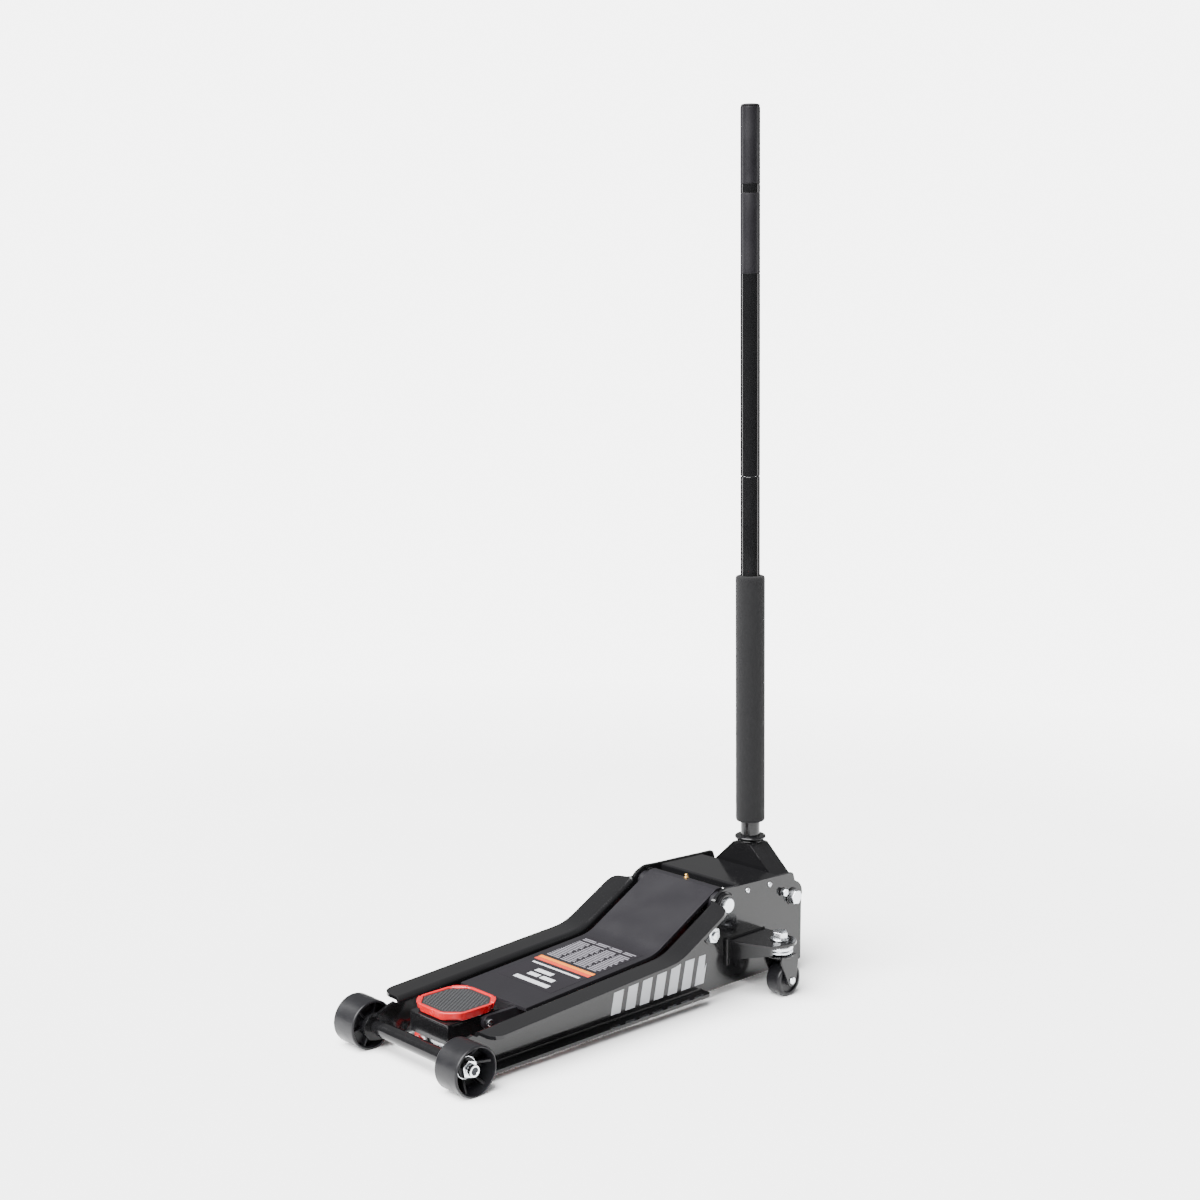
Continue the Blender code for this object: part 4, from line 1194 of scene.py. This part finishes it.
@dataclass
class Handle:
    """The socket and the two-piece handle, leaning slightly forward."""

    pivot: tuple[float, float] = SOCKET_PIVOT
    lean: float = 1.01
    radius: float = 16.4
    foam: float = 25.0
    grip_z: tuple[float, float] = (238.0, 666.5)
    knurls: tuple[tuple[float, float], ...] = ((1171.0, 1301.0), (1316.0, 1439.0))
    pitch: float = 3.1
    joint_z: float = 836.0

    def put(self, name: str, bm: bmesh.types.BMesh, finish: Finish, body: str, nodes: Sequence[str] = (),
            smooth: float = 38.0, weighted: bool = True) -> bpy.types.Object:
        """Lean a shape about the pivot and publish it.

        Args:
            name: the piece's name.
            bm: its shape, drawn upright.
            finish: what it is made of.
            body: the CAD body it moves with.
            nodes: CAD nodes it replaces.
            smooth: the smooth shading angle.
            weighted: whether broad faces keep flat shading.

        Returns:
            The new object.
        """
        y, z = self.pivot
        lean = Matrix.Rotation(math.radians(self.lean), 3, "X")
        bmesh.ops.rotate(bm, verts=bm.verts, cent=(0, y, z), matrix=lean)
        return publish(name, bm, finish, body, nodes, smooth, weighted)

    def socket(self) -> None:
        """Fold and weld the yoke, with its tube, eyes, ring and pump cam."""
        y, z = self.pivot
        face = [(-19, 201.4), (-87.3, 138), (-87.3, 119), (-76, 119), (-40, 143), (40, 143), (76, 119),
                (87.3, 119), (87.3, 138), (19, 201.4)]
        face.reverse()
        parts = [slab(face, Along.Y, y - 20.4, y - 16.4, 0.8), slab(face, Along.Y, y + 16.4, y + 20.4, 0.8)]
        for sign in (-1, 1):
            slope = [(sign * 18.8, 201.4), (sign * 87.4, 138.2), (sign * 87.4, 126), (sign * 81.4, 126),
                     (sign * 81.4, 135), (sign * 15.0, 196)]
            if sign > 0:
                slope.reverse()
            parts.append(slab(slope, Along.Y, y - 19.8, y + 19.8, 0.9))
            eye = arc((y, z), 20.2, 180, 360, 20) + [(y + 19, 142), (y - 19, 142)]
            near, far = sorted((sign * 80.6, sign * 87.3))
            parts.append(slab(eye, Along.X, near, far, 0.9))
            for edge in (-20.2, 20.2):
                parts.append(weld_bead([(sign * 20, y + edge, 200.0), (sign * 86, y + edge, 138.8)], 1.4))
        tube = [(self.radius + 0.3, 0), (18.2, 0), (18.6, 0.6), (18.6, 11.5), (self.radius + 0.3, 11.5)]
        parts.append(lathe(tube, (0, y, 191), UPWARD, 56))
        roof = [(-18.6, y - 20), (18.6, y - 20), (18.6, y + 20), (-18.6, y + 20)]
        parts.append(slab(roof, Along.Z, 197.4, 201.6, 0.9))
        parts.append(weld_bead([(p[0], p[1], 201.9) for p in arc((0, y), 19.4, 0, 360, 20)], 1.2))
        parts.append(lathe([(0, 0), (7.4, 0), (8, 0.6), (8, 60), (0, 60)], (22, y, 95), ACROSS, 40))
        lug = [(y - 11, 124), (y - 10, 97), (y - 8, 89), (y, 86.2), (y + 8, 89), (y + 10, 97), (y + 11, 124)]
        parts.append(slab(lug, Along.X, 79.4, 86.2, 0.8))
        self.put("socket_yoke", merge(parts), GLOSS_BLACK, "socket", ("handle_socket",), 36.0)
        ring = [(self.radius + 0.3, 0), (20.8, 0), (22.4, 0.6), (22.8, 2.0), (22.2, 3.2), (21.6, 3.6),
                (22.4, 4.0), (25.2, 4.6), (26.6, 6.0), (26.8, 7.4), (26.2, 8.8), (24.4, 9.8),
                (self.radius + 0.3, 10.0)]
        collar = lathe(ring, (0, y, 202.6), UPWARD, 72)
        self.put("socket_collar", collar, GLOSS_BLACK, "socket", ("socket_ring",))

    def knurl(self, bottom: float, top: float) -> bmesh.types.BMesh:
        """Roll a diamond knurl: points rise and fall by turns round and along the tube.

        Args:
            bottom: where it begins.
            top: where it ends.

        Returns:
            A closed sleeve with the knurl on its outside.
        """
        around = 2 * round(math.pi * 2 * self.radius / self.pitch)
        rows = 2 * round((top - bottom) / self.pitch / 1.1)
        step = (top - bottom) / rows
        r = self.radius
        profile = [(r - 2.4, 0)] + [(r - 0.15, i * step) for i in range(rows + 1)] + [(r - 2.4, rows * step)]
        bm = lathe(profile, (0, 0, 0), (0, 0, 1), around)
        for v in bm.verts:
            reach = math.hypot(v.co.x, v.co.y)
            if reach < r - 1.0:
                continue
            col = round(math.atan2(v.co.y, v.co.x) / (2 * math.pi / around))
            row = round(v.co.z / step)
            if row in (0, rows):
                rise = -0.35
            else:
                rise = 0.13 if (col + row) % 2 else -0.5
            v.co.x *= 1 + rise / reach
            v.co.y *= 1 + rise / reach
        bmesh.ops.translate(bm, verts=bm.verts, vec=(0, self.pivot[0], bottom))
        return bm

    def build(self) -> None:
        """Make the socket, both tubes, the knurls, the foam and the small parts."""
        self.socket()
        y = self.pivot[0]
        r = self.radius
        low = [(13.2, 0), (r - 0.8, 0), (r, 0.8), (r, 664.0), (r - 0.9, 665), (13.2, 665)]
        lower = lathe(low, (0, y, 170), UPWARD, 72)
        self.put("lower_tube", lower, GLOSS_BLACK, "handle", ("lower_handle",))
        # the tube is turned down a little where a knurl's sleeve goes over it
        first, last, second = (z - self.joint_z for z in (*self.knurls[0], self.knurls[1][0]))
        high = [(12.6, 0), (r - 0.9, 0), (r, 0.9), (r, first - 0.6), (r - 0.7, first), (r - 0.9, last),
                (r, last + 0.8), (r, second - 0.8), (r - 0.9, second), (r - 0.9, 603.4), (12.6, 603.4)]
        upper = lathe(high, (0, y, self.joint_z), UPWARD, 72)
        self.put("upper_tube", upper, GLOSS_BLACK, "handle", ("upper_handle",))
        for i, (bottom, top) in enumerate(self.knurls):
            self.put(f"knurled_grip_{i + 1}", self.knurl(bottom, top), SATIN_BLACK, "handle", (), 25.0, False)
        spigot = lathe(bar(12.2, 150.0, 0.8), (0, y, 761), UPWARD, 40)
        self.put("tube_spigot", spigot, ZINC, "handle", ("handle_spigot",))
        cap = [(0, 0), (11.8, 0), (12.2, 8), (15.4, 8.3), (15.8, 9.0), (15.2, 10.6), (13.6, 11.5), (0, 11.8)]
        self.put("end_cap", lathe(cap, (0, y, 1431.8), UPWARD, 56), RUBBER, "handle", ("handle_cap",))
        length = self.grip_z[1] - self.grip_z[0]
        f = self.foam
        sleeve = [(r + 0.2, 0), (f - 4.0, 0), (f - 1.6, 0.9), (f - 0.3, 2.8), (f, 5.5), (f, length - 5.5),
                  (f - 0.3, length - 2.8), (f - 1.6, length - 0.9), (f - 4.0, length), (r + 0.2, length)]
        foam = self.put("foam_sleeve", lathe(sleeve, (0, y, self.grip_z[0]), UPWARD, 80), FOAM, "handle",
                        ("foam_grip",))
        drive = [(0, 0), (5.6, 0), (7, 0.8), (8, 2.4), (8, 33), (12.6, 34.5), (12.6, 52), (0, 52)]
        self.put("valve_drive", lathe(drive, (0, y, 131.6), UPWARD, 40), ZINC, "handle", ("release_drive",))


# --------------------------------------------------------------------------
# Studio


@dataclass
class Studio:
    """A pale floor, soft lights and the camera, whose place is in working millimetres."""

    eye: tuple[float, float, float] = (2016.20, -1539.93, 1053.36)
    azimuth: float = 46.4
    elevation: float = 8.07
    lens: float = 53.904
    floor_radius: float = 3.2
    overhead: float = 20.0
    overhead_angle: float = 62.0
    overhead_aim: tuple[float, float, float] = (-0.05, 0.8, -1.0)
    sensor: float = 36.0
    low_sky: float = 0.2
    high_sky: float = 0.55
    backdrop: float = 6.0

    def sky(self) -> None:
        """Paint the sky: pale behind the object, dim low down where gloss sees it, brighter overhead."""
        world = bpy.data.worlds.new("studio_sky")
        world.use_nodes = True
        tree = world.node_tree
        view = add_node(tree, "ShaderNodeTexCoord")
        parts = add_node(tree, "ShaderNodeSeparateXYZ", {}, {0: view.outputs["Generated"]})
        rise = add_node(tree, "ShaderNodeMapRange", {1: 0.1, 2: 0.8, 3: self.low_sky, 4: self.high_sky},
                        {0: parts.outputs["Z"]})
        path = add_node(tree, "ShaderNodeLightPath")
        level = add_node(tree, "ShaderNodeMix", {"data_type": "FLOAT", 3: self.backdrop},
                         {0: path.outputs["Is Camera Ray"], 2: rise.outputs[0]})
        tree.links.new(level.outputs[0], tree.nodes["Background"].inputs["Strength"])
        tree.nodes["Background"].inputs["Color"].default_value = linear("#ffffff")
        bpy.context.scene.world = world

    def floor(self) -> None:
        """Lay the floor, a disc that melts into the backdrop at its rim."""
        bm = fresh()
        bmesh.ops.create_circle(bm, cap_ends=True, segments=96, radius=self.floor_radius)
        mesh = bpy.data.meshes.new("studio_floor")
        bm.to_mesh(mesh)
        bm.free()
        mesh.materials.append(STUDIO.material())
        tree = mesh.materials[0].node_tree
        spot = add_node(tree, "ShaderNodeTexCoord")
        far = add_node(tree, "ShaderNodeVectorMath", {"operation": "LENGTH"}, {0: spot.outputs["Object"]})
        fade = add_node(tree, "ShaderNodeMapRange",
                        {1: 0.55 * self.floor_radius, 2: 0.97 * self.floor_radius, 3: 1.0, 4: 0.0},
                        {0: far.outputs["Value"]})
        tree.links.new(fade.outputs[0], tree.nodes["Principled BSDF"].inputs["Alpha"])
        obj = bpy.data.objects.new("studio_floor", mesh)
        bpy.context.scene.collection.objects.link(obj)

    def lamp(self, name: str, where: Point, target: Point, size: tuple[float, float], watts: float,
             colour: str = "#ffffff") -> None:
        """Hang one soft box.

        Args:
            name: the lamp's name.
            where: its place in metres.
            target: the point it faces.
            size: width and height in metres.
            watts: its power.
            colour: its tint.
        """
        data = bpy.data.lights.new(name, "AREA")
        data.shape = "RECTANGLE"
        data.size, data.size_y = size
        data.energy = watts
        data.color = linear(colour)[:3]
        lamp = bpy.data.objects.new(name, data)
        lamp.location = where
        lamp.rotation_euler = (Vector(target) - Vector(where)).to_track_quat("-Z", "Y").to_euler()
        bpy.context.scene.collection.objects.link(lamp)

    def build(self) -> None:
        """Set the floor, the lights, the sky and the camera."""
        self.floor()
        self.sky()
        sun = bpy.data.lights.new("overhead_diffuser", "SUN")
        sun.energy = self.overhead
        sun.angle = math.radians(self.overhead_angle)
        hung = bpy.data.objects.new("overhead_diffuser", sun)
        hung.rotation_euler = Vector(self.overhead_aim).to_track_quat("-Z", "Y").to_euler()
        bpy.context.scene.collection.objects.link(hung)
        self.lamp("left_box", (-3.2, -1.2, 1.0), (0, 0.3, 0.6), (0.5, 2.4), 55.0)
        self.lamp("right_box", (2.2, 3.2, 1.2), (0, 0.3, 0.5), (0.9, 2.4), 45.0)
        camera_data = bpy.data.cameras.new("studio_camera")
        camera_data.lens = self.lens
        camera_data.sensor_width = self.sensor
        camera_data.clip_end = 50.0
        camera = bpy.data.objects.new("studio_camera", camera_data)
        az, el = math.radians(self.azimuth), math.radians(self.elevation)
        tilt = Matrix.Rotation(PITCH, 3, "X")
        back = tilt @ Vector((math.sin(az) * math.cos(el), -math.cos(az) * math.cos(el), math.sin(el)))
        right = tilt @ Vector((math.cos(az), math.sin(az), 0.0))
        turn = Matrix((right, back.cross(right), back)).transposed().to_4x4()
        camera.matrix_world = Matrix.Translation(to_frame() @ Vector(self.eye)) @ turn
        bpy.context.scene.collection.objects.link(camera)
        bpy.context.scene.camera = camera


def main() -> None:
    """Build the studio and every sub-assembly, and report the pieces."""
    logging.basicConfig(level=logging.INFO, format="%(name)s %(message)s")
    Studio().build()
    for side in Side:
        SidePlate(side).build()
    FrontAxle().build()
    RearCover().build()
    ChassisHardware().build()
    for side in Side:
        Caster(side).build()
    LiftArm().build()
    Saddle().build()
    LinkRods().build()
    PowerUnit().build()
    Handle().build()
    shown = [n for n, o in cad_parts.items() if not o.hide_render]
    LOG.info("CAD nodes still shown: %s", shown)


if __name__ == "__main__":
    main()
